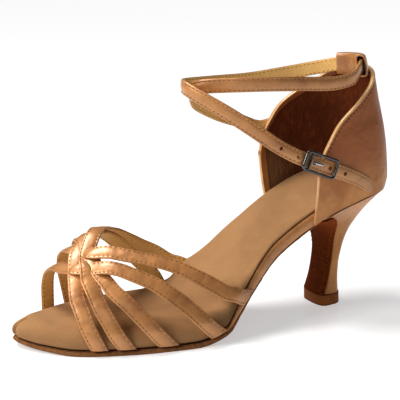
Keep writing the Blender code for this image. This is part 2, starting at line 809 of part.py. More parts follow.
# The buckle. Its frame and two bars lie over the strap, and the bar that holds the tab and the prong lies under it
OVER = ANKLE_THICKNESS / 2 + 1.5 * GAP + BUCKLE_WIRE / 2
UNDER = ANKLE_THICKNESS / 2 + TAB_THICKNESS + 2.5 * GAP + BUCKLE_WIRE / 2
BUCKLE_HALF = ANKLE_WIDTH / 2 + GAP + BUCKLE_WIRE / 2
HELD_BAR = -(HOLE_RADIUS + BUCKLE_WIRE / 2)


def make_buckle_frame():
    front = -BUCKLE_FRONT + BUCKLE_WIRE / 2
    back = BUCKLE_LENGTH - BUCKLE_FRONT - BUCKLE_WIRE / 2
    _, up, face = ANKLE_BAND.directions(PRONG_KEY)
    run = up.cross(face)
    round_path = []
    for number, (along, across) in enumerate(((back, 1), (front, 1), (front, -1), (back, -1))):
        middle_along = along + math.copysign(BUCKLE_CORNER, -along)
        middle_across = across * (BUCKLE_HALF - BUCKLE_CORNER)
        for i in range(5):
            turn = math.pi / 2 * (number + i / 4)
            round_path.append(
                by_buckle(
                    middle_along + BUCKLE_CORNER * math.cos(turn),
                    middle_across + BUCKLE_CORNER * math.sin(turn),
                    OVER,
                )
            )
    frame = wire("buckle_frame", round_path, BUCKLE_WIRE / 2, face, closed=True)
    keeper = front + KEEPER
    bar = [by_buckle(keeper, side * BUCKLE_HALF, OVER) for side in (-1, 1)]
    held = [(1, OVER), (1, 0.0), (1, -0.7 * UNDER), (0.75, -UNDER), (-0.75, -UNDER), (-1, -0.7 * UNDER), (-1, 0.0)]
    held.append((-1, OVER))
    staple = [by_buckle(HELD_BAR, side * BUCKLE_HALF, out) for side, out in held]
    joined = [
        wire("keeper_bar", bar, 0.45 * BUCKLE_WIRE, face),
        wire("held_bar", staple, 0.46 * BUCKLE_WIRE, run),
    ]
    return cut(frame, joined, "UNION")


def make_prong():
    _, up, _ = ANKLE_BAND.directions(PRONG_KEY)
    ring = BUCKLE_WIRE / 2 + GAP + PRONG_WIRE / 2
    over = ANKLE_THICKNESS / 2 + 1.5 * GAP + PRONG_WIRE / 2
    path = [by_buckle(PRONG_REACH, 0.0, over)]
    path += [by_buckle(PRONG_REACH / 2, 0.0, over), by_buckle(0.9 * HOLE_RADIUS, 0.0, over)]
    path += [by_buckle(0.2 * HOLE_RADIUS, 0.0, over - PRONG_WIRE / 3), by_buckle(-0.1 * HOLE_RADIUS, 0.0, 0.0)]
    path.append(by_buckle(HELD_BAR + ring, 0.0, 0.7 * ring - UNDER))
    for i in range(9):
        turn = -math.pi * 1.25 * i / 8
        path.append(by_buckle(HELD_BAR + ring * math.cos(turn), 0.0, -UNDER + ring * math.sin(turn)))
    return wire("buckle_prong", path, PRONG_WIRE / 2, up)


def make_tab():
    """The short leather that is folded round the held bar and sewn to the outer wing."""
    _, up, _ = ANKLE_BAND.directions(PRONG_KEY)
    ring = BUCKLE_WIRE / 2 + GAP + TAB_THICKNESS / 2
    near = 2 * GAP + TAB_THICKNESS / 2
    path = [on_cup(row, -1, near) for row in TAB_SEAM]
    path.append(by_buckle(TAB_END + TAB_THICKNESS, 0.0, 0.6 * ring - UNDER))
    path.append(by_buckle(HELD_BAR + TAB_FOLD, 0.0, ring - UNDER))
    for i in range(9):
        turn = math.pi * (0.5 + i / 8)
        path.append(by_buckle(HELD_BAR + ring * math.cos(turn), 0.0, -UNDER + ring * math.sin(turn)))
    path.append(by_buckle(HELD_BAR + TAB_FOLD, 0.0, -UNDER - ring))
    path.append(by_buckle(TAB_END, 0.0, -UNDER - 0.4 * ring))
    band = Band(path)
    rings = []
    for i in range(49):
        key = band.length * i / 48
        point = band.point(key)
        run, _, _ = band.directions(key)
        out = run.cross(up).normalized() * (TAB_THICKNESS / 2)
        side = up * (TAB_WIDTH / 2)
        rings.append([point - side - out, point + side - out, point + side + out, point - side + out])
    tab = new_object("buckle_tab", loft(rings), SATIN, 0.5)
    half = PRONG_WIRE / 2 + GAP
    deep = 2 * ring
    corners = ((-half, -deep), (half, -deep), (half, deep), (-half, deep))
    slot_rings = [
        [by_buckle(along, across, out - UNDER) for across, out in corners]
        for along in (HELD_BAR - deep, HELD_BAR + BUCKLE_WIRE / 2 + PRONG_WIRE + 2 * GAP)
    ]
    slot = new_object("tab_slot", loft(slot_rings), CHROME, 0.5)
    return cut(tab, [slot], "DIFFERENCE")


def build():
    pieces = [
        make_outsole(),
        make_board(),
        make_insole(),
        make_heel(),
        make_flap(),
        make_heel_tip(),
        make_cup(),
        make_tunnel(),
        make_toe_straps(),
        make_ankle_strap(),
        make_buckle_frame(),
        make_prong(),
        make_tab(),
    ]
    shoe = bpy.data.objects.new("shoe", None)
    bpy.context.scene.collection.objects.link(shoe)
    corners = [vertex.co for piece in pieces for vertex in piece.data.vertices]
    middle = [(min(c[i] for c in corners) + max(c[i] for c in corners)) / 2 for i in (0, 1)]
    shoe.location = (-middle[0], -middle[1], 0.0)
    for thing in bpy.data.objects:
        if thing is not shoe:
            thing.parent = shoe


for old in list(bpy.data.objects):
    bpy.data.objects.remove(old, do_unlink=True)
build()
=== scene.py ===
"""The finish of a ballroom dance sandal: satin straps, padded insole, lined cup, buckle and covered heel.

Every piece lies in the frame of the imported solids, in metres. Where a piece is worked out, x is measured
from the tip of the toe and y from the middle of the heel, and SHIFT takes that point into the frame.
"""
import math
from collections import namedtuple

import bpy
from bpy.props import FloatProperty, FloatVectorProperty, IntProperty, PointerProperty
from mathutils import Matrix, Vector, noise


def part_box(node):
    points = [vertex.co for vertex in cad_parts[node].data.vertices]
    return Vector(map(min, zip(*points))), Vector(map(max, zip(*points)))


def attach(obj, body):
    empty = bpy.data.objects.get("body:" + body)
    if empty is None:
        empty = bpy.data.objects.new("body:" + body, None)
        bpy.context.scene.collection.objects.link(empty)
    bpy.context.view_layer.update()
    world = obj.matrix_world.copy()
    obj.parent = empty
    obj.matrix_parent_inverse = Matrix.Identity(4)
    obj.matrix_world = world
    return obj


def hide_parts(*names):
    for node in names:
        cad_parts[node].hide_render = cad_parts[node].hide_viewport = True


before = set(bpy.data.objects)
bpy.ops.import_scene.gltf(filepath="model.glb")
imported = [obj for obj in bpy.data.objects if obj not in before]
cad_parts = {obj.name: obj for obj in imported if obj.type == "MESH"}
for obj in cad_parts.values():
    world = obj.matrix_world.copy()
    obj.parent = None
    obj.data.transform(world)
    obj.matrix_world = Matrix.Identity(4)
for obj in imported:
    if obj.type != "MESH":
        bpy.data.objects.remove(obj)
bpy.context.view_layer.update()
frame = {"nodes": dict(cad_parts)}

bl_info = {
    "name": "Ballroom Dance Sandal",
    "version": (1, 0, 0),
    "blender": (4, 5, 0),
    "location": "3D View > Sidebar > Sandal",
    "description": "Makes the satin, leather, stitching and metal of a ballroom dance sandal",
    "category": "Add Mesh",
}

# The tip of the toe, with the heel's middle line, in the frame
SHIFT = Vector((
    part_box("outsole")[0].x,
    (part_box("strap_tunnel")[0].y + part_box("strap_tunnel")[1].y) / 2,
    0.0,
))
BODY = "root"

# Sole and seat, as the solids have them
SOLE_LENGTH = 0.2060
BALL_WIDTH = 0.0745
HEEL_RISE = 0.0612
OUTSOLE_FORE = 0.0023
OUTSOLE_WAIST = 0.0013
INSOLE_FORE = 0.0112
SOCK = 0.0016
BOARD = 0.0054
BOARD_NOSE = 0.0008
INSOLE_INSET = 0.0010
GAP = 0.0003
TOE_START = 0.0010
RAMP_START = 0.400
RAMP_END = 0.435
BALL_END = 0.460
WAIST_START = 0.580
CUP_FRONT = 0.744
BREAST = 0.758
TIP_HEIGHT = 0.0056
FLAP_THICKNESS = 0.0013
CUP_HEIGHT = 0.0625
CUP_WALL = 0.0020
TUNNEL_HEIGHT = 0.0122
TUNNEL_DEPTH = 0.0062
TUNNEL_HALF_SPAN = 0.0120
TUNNEL_RADIUS = 0.0165
TUNNEL_LEAN = 0.0018
TUNNEL_RISE = 0.0011
TUNNEL_DROP = 0.0021
STRAP_WIDTH = 0.0082
STRAP_THICKNESS = 0.0016
STRAP_SLOPE = 0.3
STRAP_LEAN = 0.5
STRAP_LAYER = 0.0007
ANKLE_WIDTH = 0.0074
ANKLE_THICKNESS = 0.0018
VAMP_HEIGHT = 0.0500
COLLAR_HEIGHT = 0.1250
BUCKLE_LENGTH = 0.0216
BUCKLE_CORNER = 0.0020
BUCKLE_WIRE = 0.0014
BUCKLE_FRONT = 0.0076
KEEPER = 0.0034
PRONG_WIRE = 0.0012
PRONG_REACH = 0.0040
TAB_THICKNESS = 0.0011
HOLE_RADIUS = 0.0011
HOLE_SPACING = 0.0103
HOLES_BEFORE = 2
HOLES_AFTER = 2
STRAP_TAIL = 0.0435
SEAT_SHARE = 0.72           # width of the seat, as a share of the ball's
HEEL_WIDEST = 0.45          # where the heel is widest, as a share of the way from its front to its back
SEAM_STEP = 0.0002          # from the cup's turning to the cloth beside it
CUP_SEAM = {1: 0.0024, -1: 0.0022}      # from the cup's edge in to its stitches, outside and inside
FLAP_SEAM = 0.0022          # from the flap's edge in to its stitches
ANKLE_CUTS = 620            # along the whole ankle strap

# The buckle's wires, drawn a little thicker or thinner than the solids'
RING_RADIUS = 0.58 * BUCKLE_WIRE
KEEPER_RADIUS = 0.56 * BUCKLE_WIRE
HELD_RADIUS = 0.46 * BUCKLE_WIRE
PIN_RADIUS = 0.62 * PRONG_WIRE


def named(fields, *rows):
    """Rows of a table with named columns."""
    row_of = namedtuple("Row", fields)
    return tuple(row_of(*row) for row in rows)


# Sole, forefoot, cup, heel and ankle strap, as shares of their sizes
SOLE = named(
    "along middle width rise",
    (0.000, 0.185, 0.000, 0.050), (0.042, 0.126, 0.376, 0.020), (0.112, 0.078, 0.680, 0.000),
    (0.203, 0.050, 0.874, 0.000), (0.290, 0.020, 0.968, 0.000), (0.388, -0.012, 1.000, 0.000),
    (0.468, -0.029, 0.960, 0.062), (0.513, -0.024, 0.877, 0.190), (0.558, -0.018, 0.771, 0.327),
    (0.650, -0.009, 0.656, 0.596), (0.768, -0.002, 0.690, 0.827), (0.849, 0.000, 0.715, 0.928),
    (0.919, 0.000, 0.670, 0.980), (1.000, 0.000, 0.000, 1.000),
)
ARCH = named(
    "turn across up",
    (0.00, -0.500, 0.00), (0.10, -0.500, 0.15), (0.25, -0.430, 0.44), (0.40, -0.260, 0.74),
    (0.55, -0.030, 0.92), (0.70, 0.200, 0.97), (0.82, 0.390, 0.86), (0.92, 0.490, 0.56),
    (1.00, 0.500, 0.00),
)
INSTEP = named(
    "along height",
    (0.05, 0.47), (0.11, 0.60), (0.18, 0.87), (0.24, 1.01), (0.33, 1.045), (0.43, 1.01), (0.56, 1.00),
)
TOE_STRAPS = tuple(named("along turn layer roll", *rows) for rows in (
    (
        (0.154, 0.00, 0, 0), (0.133, 0.22, 0, 0), (0.130, 0.36, 0, 0), (0.144, 0.49, -1, 0),
        (0.172, 0.62, 1, 0), (0.238, 0.76, -1, 0), (0.338, 0.89, 0, 0), (0.436, 0.97, 0, 0),
        (0.458, 1.00, 0, 0),
    ),
    (
        (0.215, 0.00, 0, 0), (0.186, 0.15, 0, 0), (0.168, 0.30, 0, 0), (0.164, 0.41, 1, 0),
        (0.172, 0.48, 1, -8), (0.186, 0.56, -1, -15), (0.237, 0.69, 1, -8), (0.323, 0.84, 0, 0),
        (0.424, 0.92, 0, 0), (0.537, 1.00, 0, 0),
    ),
    (
        (0.313, 0.00, 0, 0), (0.268, 0.14, 0, 0), (0.233, 0.24, 0, 0), (0.203, 0.34, -1, 0),
        (0.191, 0.46, -1.6, 0), (0.196, 0.60, -1, 0), (0.220, 0.82, 0, 0), (0.250, 1.00, 0, 0),
    ),
    (
        (0.443, 0.00, 0, 0), (0.393, 0.15, 0, 0), (0.312, 0.30, 0, 0), (0.254, 0.37, 0, 0),
        (0.210, 0.43, 0.6, 5), (0.179, 0.48, -0.8, 10), (0.153, 0.55, 1, 14), (0.138, 0.68, 0, 10),
        (0.136, 0.82, 0, 0), (0.134, 1.00, 0, 0),
    ),
    (
        (0.540, 0.00, 0, 0), (0.470, 0.21, 0, 0), (0.400, 0.34, 0, 0), (0.321, 0.41, 0, 0),
        (0.252, 0.47, 0, 8), (0.197, 0.55, 1, 14), (0.180, 0.65, -1, 12), (0.178, 0.78, 0, 0),
        (0.184, 0.90, 0, 0), (0.210, 1.00, 0, 0),
    ),
))
CUP = named(
    "up back front",
    (0.00, 0.000, 0.000), (0.10, 0.022, 0.030), (0.30, 0.014, 0.075), (0.50, -0.004, 0.098),
    (0.75, -0.052, 0.100), (1.00, -0.090, 0.090),
)
CUP_RIM = named(
    "along height",
    (0.744, 0.450), (0.751, 0.560), (0.772, 0.655), (0.807, 0.765), (0.875, 0.850), (0.935, 0.935),
    (1.000, 1.000),
)
HEEL = named(
    "up back front width square flap",
    (0.00, 0.529, 0.784, 0.350, 4.4, 131), (0.15, 0.538, 0.732, 0.335, 4.0, 128),
    (0.30, 0.528, 0.702, 0.330, 3.6, 126), (0.45, 0.482, 0.683, 0.335, 3.6, 124),
    (0.60, 0.408, 0.700, 0.380, 3.6, 121), (0.75, 0.273, 0.763, 0.520, 4.0, 118),
    (0.88, 0.152, 0.890, 0.760, 5.3, 117), (1.00, 0.000, 1.000, 1.000, 9.0, 120),
)
FIRST_ROUND = named(
    "along across up",
    (0.695, 0.415, 0.767), (0.607, 0.300, 0.827), (0.543, 0.205, 0.880), (0.500, 0.110, 0.922),
    (0.478, 0.030, 0.962), (0.468, -0.050, 0.990), (0.482, -0.130, 1.008), (0.520, -0.210, 1.013),
    (0.605, -0.320, 1.013), (0.710, -0.355, 1.000), (0.808, -0.350, 0.984), (0.868, -0.320, 0.992),
    (0.898, -0.255, 1.008),
)
SECOND_ROUND = named(
    "along across up",
    (0.886, 0.250, 0.986), (0.820, 0.320, 0.970), (0.703, 0.325, 0.960), (0.600, 0.245, 0.973),
    (0.520, 0.110, 0.992), (0.466, 0.020, 1.004), (0.441, -0.060, 1.010), (0.445, -0.150, 0.998),
    (0.464, -0.235, 0.972), (0.490, -0.310, 0.940), (0.528, -0.385, 0.892), (0.572, -0.440, 0.835),
    (0.622, -0.485, 0.771),
)
BUCKLE_RUN = named("along across up", (0.668, -0.506, 0.725), (0.793, -0.481, 0.633))
STRAP_START = named("along up", (0.825, 0.560), (0.790, 0.600), (0.752, 0.645))
STRAP_END = named("along up", (0.855, 0.225), (0.897, 0.095))

# The sewn satin's section over half a strap, from its underside round the folded edge to the middle of its
# face: shares of half the width and of half the thickness. The dip is where the stitches pull it down
SATIN_FOLD = named(
    "across out",
    (0.50, -0.62), (0.84, -0.64), (0.96, -0.46), (1.00, -0.06), (0.97, 0.38), (0.89, 0.66), (0.80, 0.70),
    (0.72, 0.62), (0.63, 0.72), (0.48, 0.92), (0.24, 1.00),
)
LINING_FOLD = named(
    "across out",
    (0.50, -0.60), (0.90, -0.62), (0.93, -0.74), (0.89, -0.92), (0.72, -0.90), (0.50, -1.00),
)
# Where the stitches lie, as shares of half a strap's width and, on each face, of half its thickness
STITCH_LINE = 0.72
SATIN_DIP = 0.66
LINING_DIP = 0.93

# Edges of the waist's rim and of the insole from below: outward in insets or inward in metres, and the share
# of the thickness
RIM_PROFILE = ((-0.9, -0.05), (0.1, -0.02), (0.3, 0.20), (0.1, 0.70), (-0.5, 0.94), (-1.8, 1.0))
INSOLE_PROFILE = (
    (0.0030, 0.00), (0.0016, 0.05), (0.0010, 0.16), (0.0008, 0.34), (0.0011, 0.52),
    (0.0020, 0.70), (0.0037, 0.86), (0.0060, 0.955), (0.0084, 1.00),
)

# Soft creases in the insole where the forefoot bends: the place along the sole, its lean, the depth, width
# and reach across in metres, and the side that it starts from
CREASES = named(
    "along lean depth width reach side",
    (0.470, 0.20, 0.0007, 0.0030, 0.020, -1), (0.505, 0.30, 0.0011, 0.0034, 0.024, -1),
    (0.545, 0.25, 0.0008, 0.0040, 0.018, -1), (0.490, -0.20, 0.0006, 0.0040, 0.018, 1),
)

# Painted shade on the insole's outer side, where a strap shades it: the spot, its radius and how dark it is
INSOLE_PAINTED_SHADE = (
    (Vector((0.1080, -0.0345, 0.0160)), 0.016, 0.85),
    (Vector((0.0940, -0.0360, 0.0110)), 0.012, 0.45),
)

# The cup's satin and the covered heel are duller, and get painted shade that darkens them upwards between
# these heights
DULL_WITH_PAINTED_SHADE = {"painted_shade_heights": (0.062, 0.088), "gloss": 0.10}

# The cup's lining gets painted light around here, a paler patch where light falls into the cup
LINING_PAINTED_LIGHT = Vector((0.1590, 0.0250, 0.0680))

# Camera, as the photograph was taken
VIEW_TARGET = Vector((0.1004, -0.0014, 0.0657))
VIEW_AZIMUTH = math.radians(26.09)
VIEW_ELEVATION = math.radians(14.25)
VIEW_ROLL = math.radians(-1.66)
VIEW_DISTANCE = 0.9125
VIEW_LENS = 160.3


# Curves through the tables
def curve(keys, values):
    """Returns a smooth function through the values, which never swings past them."""
    slopes = [(b - a) / (k - j) for a, b, j, k in zip(values, values[1:], keys, keys[1:])]
    tangents = [slopes[0]]
    for before, after in zip(slopes, slopes[1:]):
        same_way = before * after > 0
        tangents.append(2 * before * after / (before + after) if same_way else 0.0)
    tangents.append(slopes[-1])
    return hermite(keys, values, tangents, keys[0], keys[-1])


def curve_through(keys, values):
    """Returns a smooth function through the values, with the slope at each taken from its neighbours."""
    tangents = []
    for i in range(len(keys)):
        low, high = max(i - 1, 0), min(i + 1, len(keys) - 1)
        tangents.append((values[high] - values[low]) / (keys[high] - keys[low]))
    return hermite(keys, values, tangents, -math.inf, math.inf)


def hermite(keys, values, tangents, first, last):
    def at(key):
        key = min(max(key, first), last)
        i = max([n for n in range(len(keys) - 1) if keys[n] <= key] or [0])
        step = keys[i + 1] - keys[i]
        t = (key - keys[i]) / step
        return (
            values[i] * (1 + 2 * t) * (1 - t) ** 2
            + values[i + 1] * t * t * (3 - 2 * t)
            + step * tangents[i] * t * (1 - t) ** 2
            - step * tangents[i + 1] * t * t * (1 - t)
        )

    return at


def column(table, key, value):
    return curve([getattr(row, key) for row in table], [getattr(row, value) for row in table])


def distances(points):
    """The length gone at each point of a path."""
    gone = [0.0]
    for before, after in zip(points, points[1:]):
        gone.append(gone[-1] + (after - before).length)
    return gone


def path_through(keys, points):
    """Returns a smooth path through points, by the keys given for them."""
    axes = [curve_through(keys, [point[i] for point in points]) for i in range(3)]
    return lambda key: Vector([axis(key) for axis in axes])


def blend(start, end, share):
    return start + (end - start) * share


def ease(low, high, key):
    t = min(max((key - low) / (high - low), 0.0), 1.0)
    return t * t * (3 - 2 * t)


# The sole, worked out as its solids are
def angle_of(along):
    return math.acos(1 - 2 * min(max(along, 0.0), 1.0))


def along_of(angle):
    return (1 - math.cos(angle)) / 2


middle_at = column(SOLE, "along", "middle")
rise_at = column(SOLE, "along", "rise")
width_over_angle = curve([angle_of(row.along) for row in SOLE], [row.width for row in SOLE])


def outline(angle, side):
    along = along_of(angle)
    half = width_over_angle(angle) / 2
    return Vector((along * SOLE_LENGTH, (middle_at(along) + side * half) * BALL_WIDTH))


def outline_normal(angle, side):
    small = 0.004
    if angle < small:
        return Vector((-1.0, 0.0))
    if angle > math.pi - small:
        return Vector((1.0, 0.0))
    run = outline(angle + small, side) - outline(angle - small, side)
    return Vector((-run.y, run.x)).normalized() * side


def edge(angle, side, outward):
    return outline(angle, side) + outline_normal(angle, side) * outward


def lift(x, thickness):
    along = x / SOLE_LENGTH
    small = 0.002
    slope = (rise_at(along + small) - rise_at(along - small)) * HEEL_RISE / (2 * small * SOLE_LENGTH)
    return rise_at(along) * HEEL_RISE + thickness * math.hypot(1.0, slope)


def outsole_top(x):
    return blend(OUTSOLE_FORE, OUTSOLE_WAIST, ease(BALL_END, WAIST_START, x / SOLE_LENGTH))


def board_top(x):
    thick = blend(BOARD_NOSE, BOARD, ease(BALL_END, WAIST_START, x / SOLE_LENGTH))
    return outsole_top(x) + GAP + thick


def insole_bottom(x):
    ramp = ease(RAMP_START, RAMP_END, x / SOLE_LENGTH)
    return outsole_top(x) + GAP + ramp * (board_top(x) - outsole_top(x))


def insole_top(x):
    fore = OUTSOLE_FORE + GAP + INSOLE_FORE
    waist = OUTSOLE_WAIST + GAP + BOARD + GAP + SOCK
    return blend(fore, waist, ease(BALL_END, WAIST_START, x / SOLE_LENGTH))


def sole_angles(first, last, count):
    """Places along the sole, closer together at its round ends."""
    start, end = angle_of(first), angle_of(last)
    return [blend(start, end, i / count) for i in range(count + 1)]


def slab_ring(angle, profile, bottom, top, columns=0):
    """One section across a layer of the sole; profile lists its outward length and share of thickness."""
    sides = {}
    for side in (-1, 1):
        sides[side] = []
        for outward, share in profile:
            place = edge(angle, side, outward)
            height = blend(lift(place.x, bottom(place.x)), lift(place.x, top(place.x)), share)
            sides[side].append(Vector((place.x, place.y, height)))
    across = []
    for i in range(columns):
        place = sides[-1][-1].lerp(sides[1][-1], (i + 1) / (columns + 1))
        across.append(Vector((place.x, place.y, lift(place.x, top(place.x)))))
    return sides[-1] + across + sides[1][::-1]


# The forefoot's shape and the straps on it
across_at = column(ARCH, "turn", "across")
up_at = column(ARCH, "turn", "up")
instep_at = column(INSTEP, "along", "height")


def vamp(along, turn):
    angle = angle_of(along)
    beside = STRAP_THICKNESS / 2 + 2 * GAP - INSOLE_INSET
    place = edge(angle, -1, beside).lerp(edge(angle, 1, beside), across_at(turn) + 0.5)
    base = lift(place.x, outsole_top(place.x) + 3 * GAP)
    return Vector((place.x, place.y, base + up_at(turn) * instep_at(along) * VAMP_HEIGHT))


def strap_route(rows):
    keys = list(range(len(rows)))
    return {name: curve(keys, [getattr(row, name) for row in rows]) for name in rows[0]._fields}


def strap_frame(route, key, last):
    """The middle of a toe strap at a place along it, and its directions along, across and out of its face."""
    small = 0.01
    along, turn = route["along"](key), route["turn"](key)
    here = vamp(along, turn)
    forth = vamp(along + small, turn) - vamp(along - small, turn)
    around = vamp(along, min(turn + small, 1.0)) - vamp(along, max(turn - small, 0.0))
    ahead = vamp(route["along"](key + small), route["turn"](key + small))
    behind = vamp(route["along"](key - small), route["turn"](key - small))
    run = (ahead - behind).normalized()
    outwards = forth.cross(around).normalized()
    free = ease(0.3, 0.8, up_at(turn))
    outwards.x *= blend(1.0, STRAP_SLOPE, free)
    outwards.y *= blend(1.0, STRAP_LEAN, free * ease(0.5, 0.75, turn))
    outwards = (outwards - run * outwards.dot(run)).normalized()
    if outwards.dot(here - Vector((here.x, 0.0, 0.0))) < 0:
        outwards.negate()
    roll = math.radians(route["roll"](key))
    outwards = outwards * math.cos(roll) + outwards.cross(run) * math.sin(roll)
    across = outwards.cross(run)
    from_end = min(key, last - key)
    if from_end < 1.0:
        across = across + run * ((1 - ease(0.0, 1.0, from_end)) * forth.dot(run) / forth.dot(across))
    middle = here + outwards * (route["layer"](key) * STRAP_LAYER)
    return middle, run, across, outwards


# Cup, heel, tunnel and ankle strap
cup_back_at = column(CUP, "up", "back")
cup_front_at = column(CUP, "up", "front")
cup_rim_at = column(CUP_RIM, "along", "height")


def cup_point(angle, side, height, outward=0.0):
    up = height / CUP_HEIGHT
    fore = 1.0 - ease(CUP_FRONT, 1.0, along_of(angle))
    stand = blend(cup_back_at(up), cup_front_at(up), fore) * CUP_HEIGHT
    place = edge(angle, side, GAP - INSOLE_INSET + stand + outward)
    foot = outline(angle, side)
    return Vector((place.x, place.y, lift(foot.x, outsole_top(foot.x) + GAP) + height))


SEAT_FRONT = BREAST * SOLE_LENGTH + GAP
SEAT_BACK = SOLE_LENGTH - INSOLE_INSET + GAP + CUP_WALL
SEAT_WIDTH = SEAT_SHARE * BALL_WIDTH - 2 * INSOLE_INSET + 2 * (GAP + CUP_WALL)
HEEL_AT = {name: column(HEEL, "up", name) for name in HEEL[0]._fields[1:]}


def heel_point(turn, up, outward=0.0):
    """A point of the heel's side; turn is 0 at the back and pi at the breast, and up is 0 at the tip."""
    length = SEAT_BACK - SEAT_FRONT
    back = SEAT_BACK - HEEL_AT["back"](up) * length
    front = SEAT_BACK - HEEL_AT["front"](up) * length
    half = HEEL_AT["width"](up) * SEAT_WIDTH / 2
    widest = blend(front, back, HEEL_WIDEST)
    cos, sin = math.cos(turn), math.sin(turn)
    if cos >= 0:
        x = widest + (back - widest + outward) * cos
        y = (half + outward) * sin
    else:
        square = HEEL_AT["square"](up)
        reach = (abs(cos) ** square + abs(sin) ** square) ** (1 / square)
        x = widest + (widest - front + outward) * cos / reach
        y = (half + outward) * sin / reach
    seat = lift(x, outsole_top(x))
    return Vector((x, y, blend(TIP_HEIGHT + GAP, seat, up)))


TUNNEL_SWEEP = math.asin(TUNNEL_HALF_SPAN / TUNNEL_RADIUS)


def tunnel_point(turn, outward=0.0, up=0.0):
    back = cup_point(math.pi, 1, CUP_HEIGHT)
    middle = back.x - 2 * GAP - TUNNEL_DEPTH / 2 - TUNNEL_RADIUS
    radius = TUNNEL_RADIUS + outward - TUNNEL_LEAN * up / TUNNEL_HEIGHT
    height = back.z + TUNNEL_RISE + up - TUNNEL_DROP * turn / (2 * TUNNEL_SWEEP)
    return Vector((middle + radius * math.cos(turn), radius * math.sin(turn), height))


def turn_point(row):
    return Vector((row.along * SOLE_LENGTH, row.across * BALL_WIDTH, row.up * COLLAR_HEIGHT))


def on_cup(row, side, outward):
    return cup_point(angle_of(row.along), side, row.up * CUP_HEIGHT, CUP_WALL + outward)


class Band:
    """A flat band along a smooth curve through points, standing on its edge."""

    def __init__(self, points):
        keys = distances(points)
        self.length = keys[-1]
        self.point = path_through(keys, points)

    def directions(self, key):
        """The directions along the band, up across its width, and out of its face away from the ankle."""
        small = 0.0004
        low, high = max(key - small, 0.0), min(key + small, self.length)
        run = (self.point(high) - self.point(low)).normalized()
        across = (Vector((0, 0, 1)) - run * run.z).normalized()
        return run, across, run.cross(across)

    def frame(self, key):
        return self.point(key), *self.directions(key)


def ankle_band():
    near = 2 * GAP + ANKLE_THICKNESS / 2
    points = [on_cup(row, 1, near) for row in STRAP_START]
    points += [turn_point(row) for row in FIRST_ROUND]
    points += [tunnel_point(TUNNEL_SWEEP * share) for share in (-0.9, -0.45, 0.0, 0.45, 0.9)]
    points += [turn_point(row) for row in SECOND_ROUND]
    start, end = [turn_point(row) for row in BUCKLE_RUN]
    points += [start.lerp(end, i / 4) for i in range(5)]
    for number, row in enumerate(STRAP_END, 1):
        points.append(on_cup(row, -1, near + 0.6 * TAB_THICKNESS / number))
    return Band(points)


ANKLE_BAND = ankle_band()
PRONG_KEY = ANKLE_BAND.length - STRAP_TAIL
OVER = ANKLE_THICKNESS / 2 + 1.5 * GAP + BUCKLE_WIRE / 2
UNDER = ANKLE_THICKNESS / 2 + TAB_THICKNESS + 2.5 * GAP + BUCKLE_WIRE / 2
BUCKLE_HALF = ANKLE_WIDTH / 2 + GAP + BUCKLE_WIRE / 2
HELD_BAR = -(HOLE_RADIUS + BUCKLE_WIRE / 2)


def by_buckle(along, across, out):
    """A point near the buckle, from the middle of the strap at the prong's hole."""
    point, run, up, face = ANKLE_BAND.frame(PRONG_KEY)
    return point + run * along + up * across + face * out


# Materials
class Wire:
    """One output in a material, which takes part in sums as a number does."""

    def __init__(self, paint, socket):
        self.paint, self.socket = paint, socket

    def __add__(self, other):
        return self.paint.maths("ADD", self, other)

    def __sub__(self, other):
        return self.paint.maths("SUBTRACT", self, other)

    def __rsub__(self, other):
        return self.paint.maths("SUBTRACT", other, self)

    def __mul__(self, other):
        return self.paint.maths("MULTIPLY", self, other)

    __radd__ = __add__
    __rmul__ = __mul__


class Paint:
    """A material with one shader, built up by expressions."""

    def __init__(self, **fixed):
        self.material = bpy.data.materials.new("paint")
        self.material.use_nodes = True
        self.tree = self.material.node_tree
        self.shader = self.tree.nodes["Principled BSDF"]
        for socket, value in fixed.items():
            self.shader.inputs[socket.replace("_", " ")].default_value = value

    def feed(self, socket, value):
        if isinstance(value, Wire):
            self.tree.links.new(value.socket, socket)
        else:
            socket.default_value = value

    def node(self, kind, settings, inputs, output=0):
        """Adds a node, with its settings first and then the values or links of its sockets."""
        made = self.tree.nodes.new("ShaderNode" + kind)
        for name, value in settings.items():
            setattr(made, name, value)
        for name, value in inputs.items():
            self.feed(made.inputs[name], value)
        return Wire(self, made.outputs[output])

    def maths(self, operation, first, second):
        return self.node("Math", {"operation": operation}, {0: first, 1: second})

    def place(self, uv=False):
        return self.node("TexCoord", {}, {}, "UV" if uv else "Object")

    def scaled(self, place, x, y, z):
        return self.node("Mapping", {}, {"Vector": place, "Scale": (x, y, z)})

    def grain(self, place, size, detail=2.0, roughness=0.55, distortion=0.0):
        """Soft noise from 0 to 1, with blots of a size in metres."""
        inputs = {
            "Vector": place, "Scale": 1.0 / size, "Detail": detail,
            "Roughness": roughness, "Distortion": distortion,
        }
        return self.node("TexNoise", {}, inputs, "Fac")

    def step(self, value, low, high):
        """Goes softly from 0 to 1 as the value goes from low to high."""
        inputs = {"Value": value, "From Min": low, "From Max": high}
        return self.node("MapRange", {"interpolation_type": "SMOOTHSTEP"}, inputs)

    def mix(self, factor, first, second):
        made = self.tree.nodes.new("ShaderNodeMix")
        made.data_type = "RGBA"
        for number, value in ((0, factor), (6, first), (7, second)):
            self.feed(made.inputs[number], value)
        return Wire(self, made.outputs[2])

    def blots(self, colour, pattern, low, high, share, other):
        """Lays a share of another colour over it, where the pattern goes from low to high."""
        return self.mix(self.step(pattern, low, high) * share, colour, other)

    def axis(self, place, name):
        return self.node("SeparateXYZ", {}, {"Vector": place}, name)

    def away_from(self, place, point):
        """The distance from a point in the frame."""
        return self.node("VectorMath", {"operation": "DISTANCE"}, {0: place, 1: point}, 1)

    def finish(self, colour, roughness, height=None, depth=0.0, strength=1.0):
        self.feed(self.shader.inputs["Base Color"], colour)
        self.feed(self.shader.inputs["Roughness"], roughness)
        if height is not None:
            inputs = {"Height": height, "Distance": depth, "Strength": strength}
            self.feed(self.shader.inputs["Normal"], self.node("Bump", {}, inputs))
        return self.material


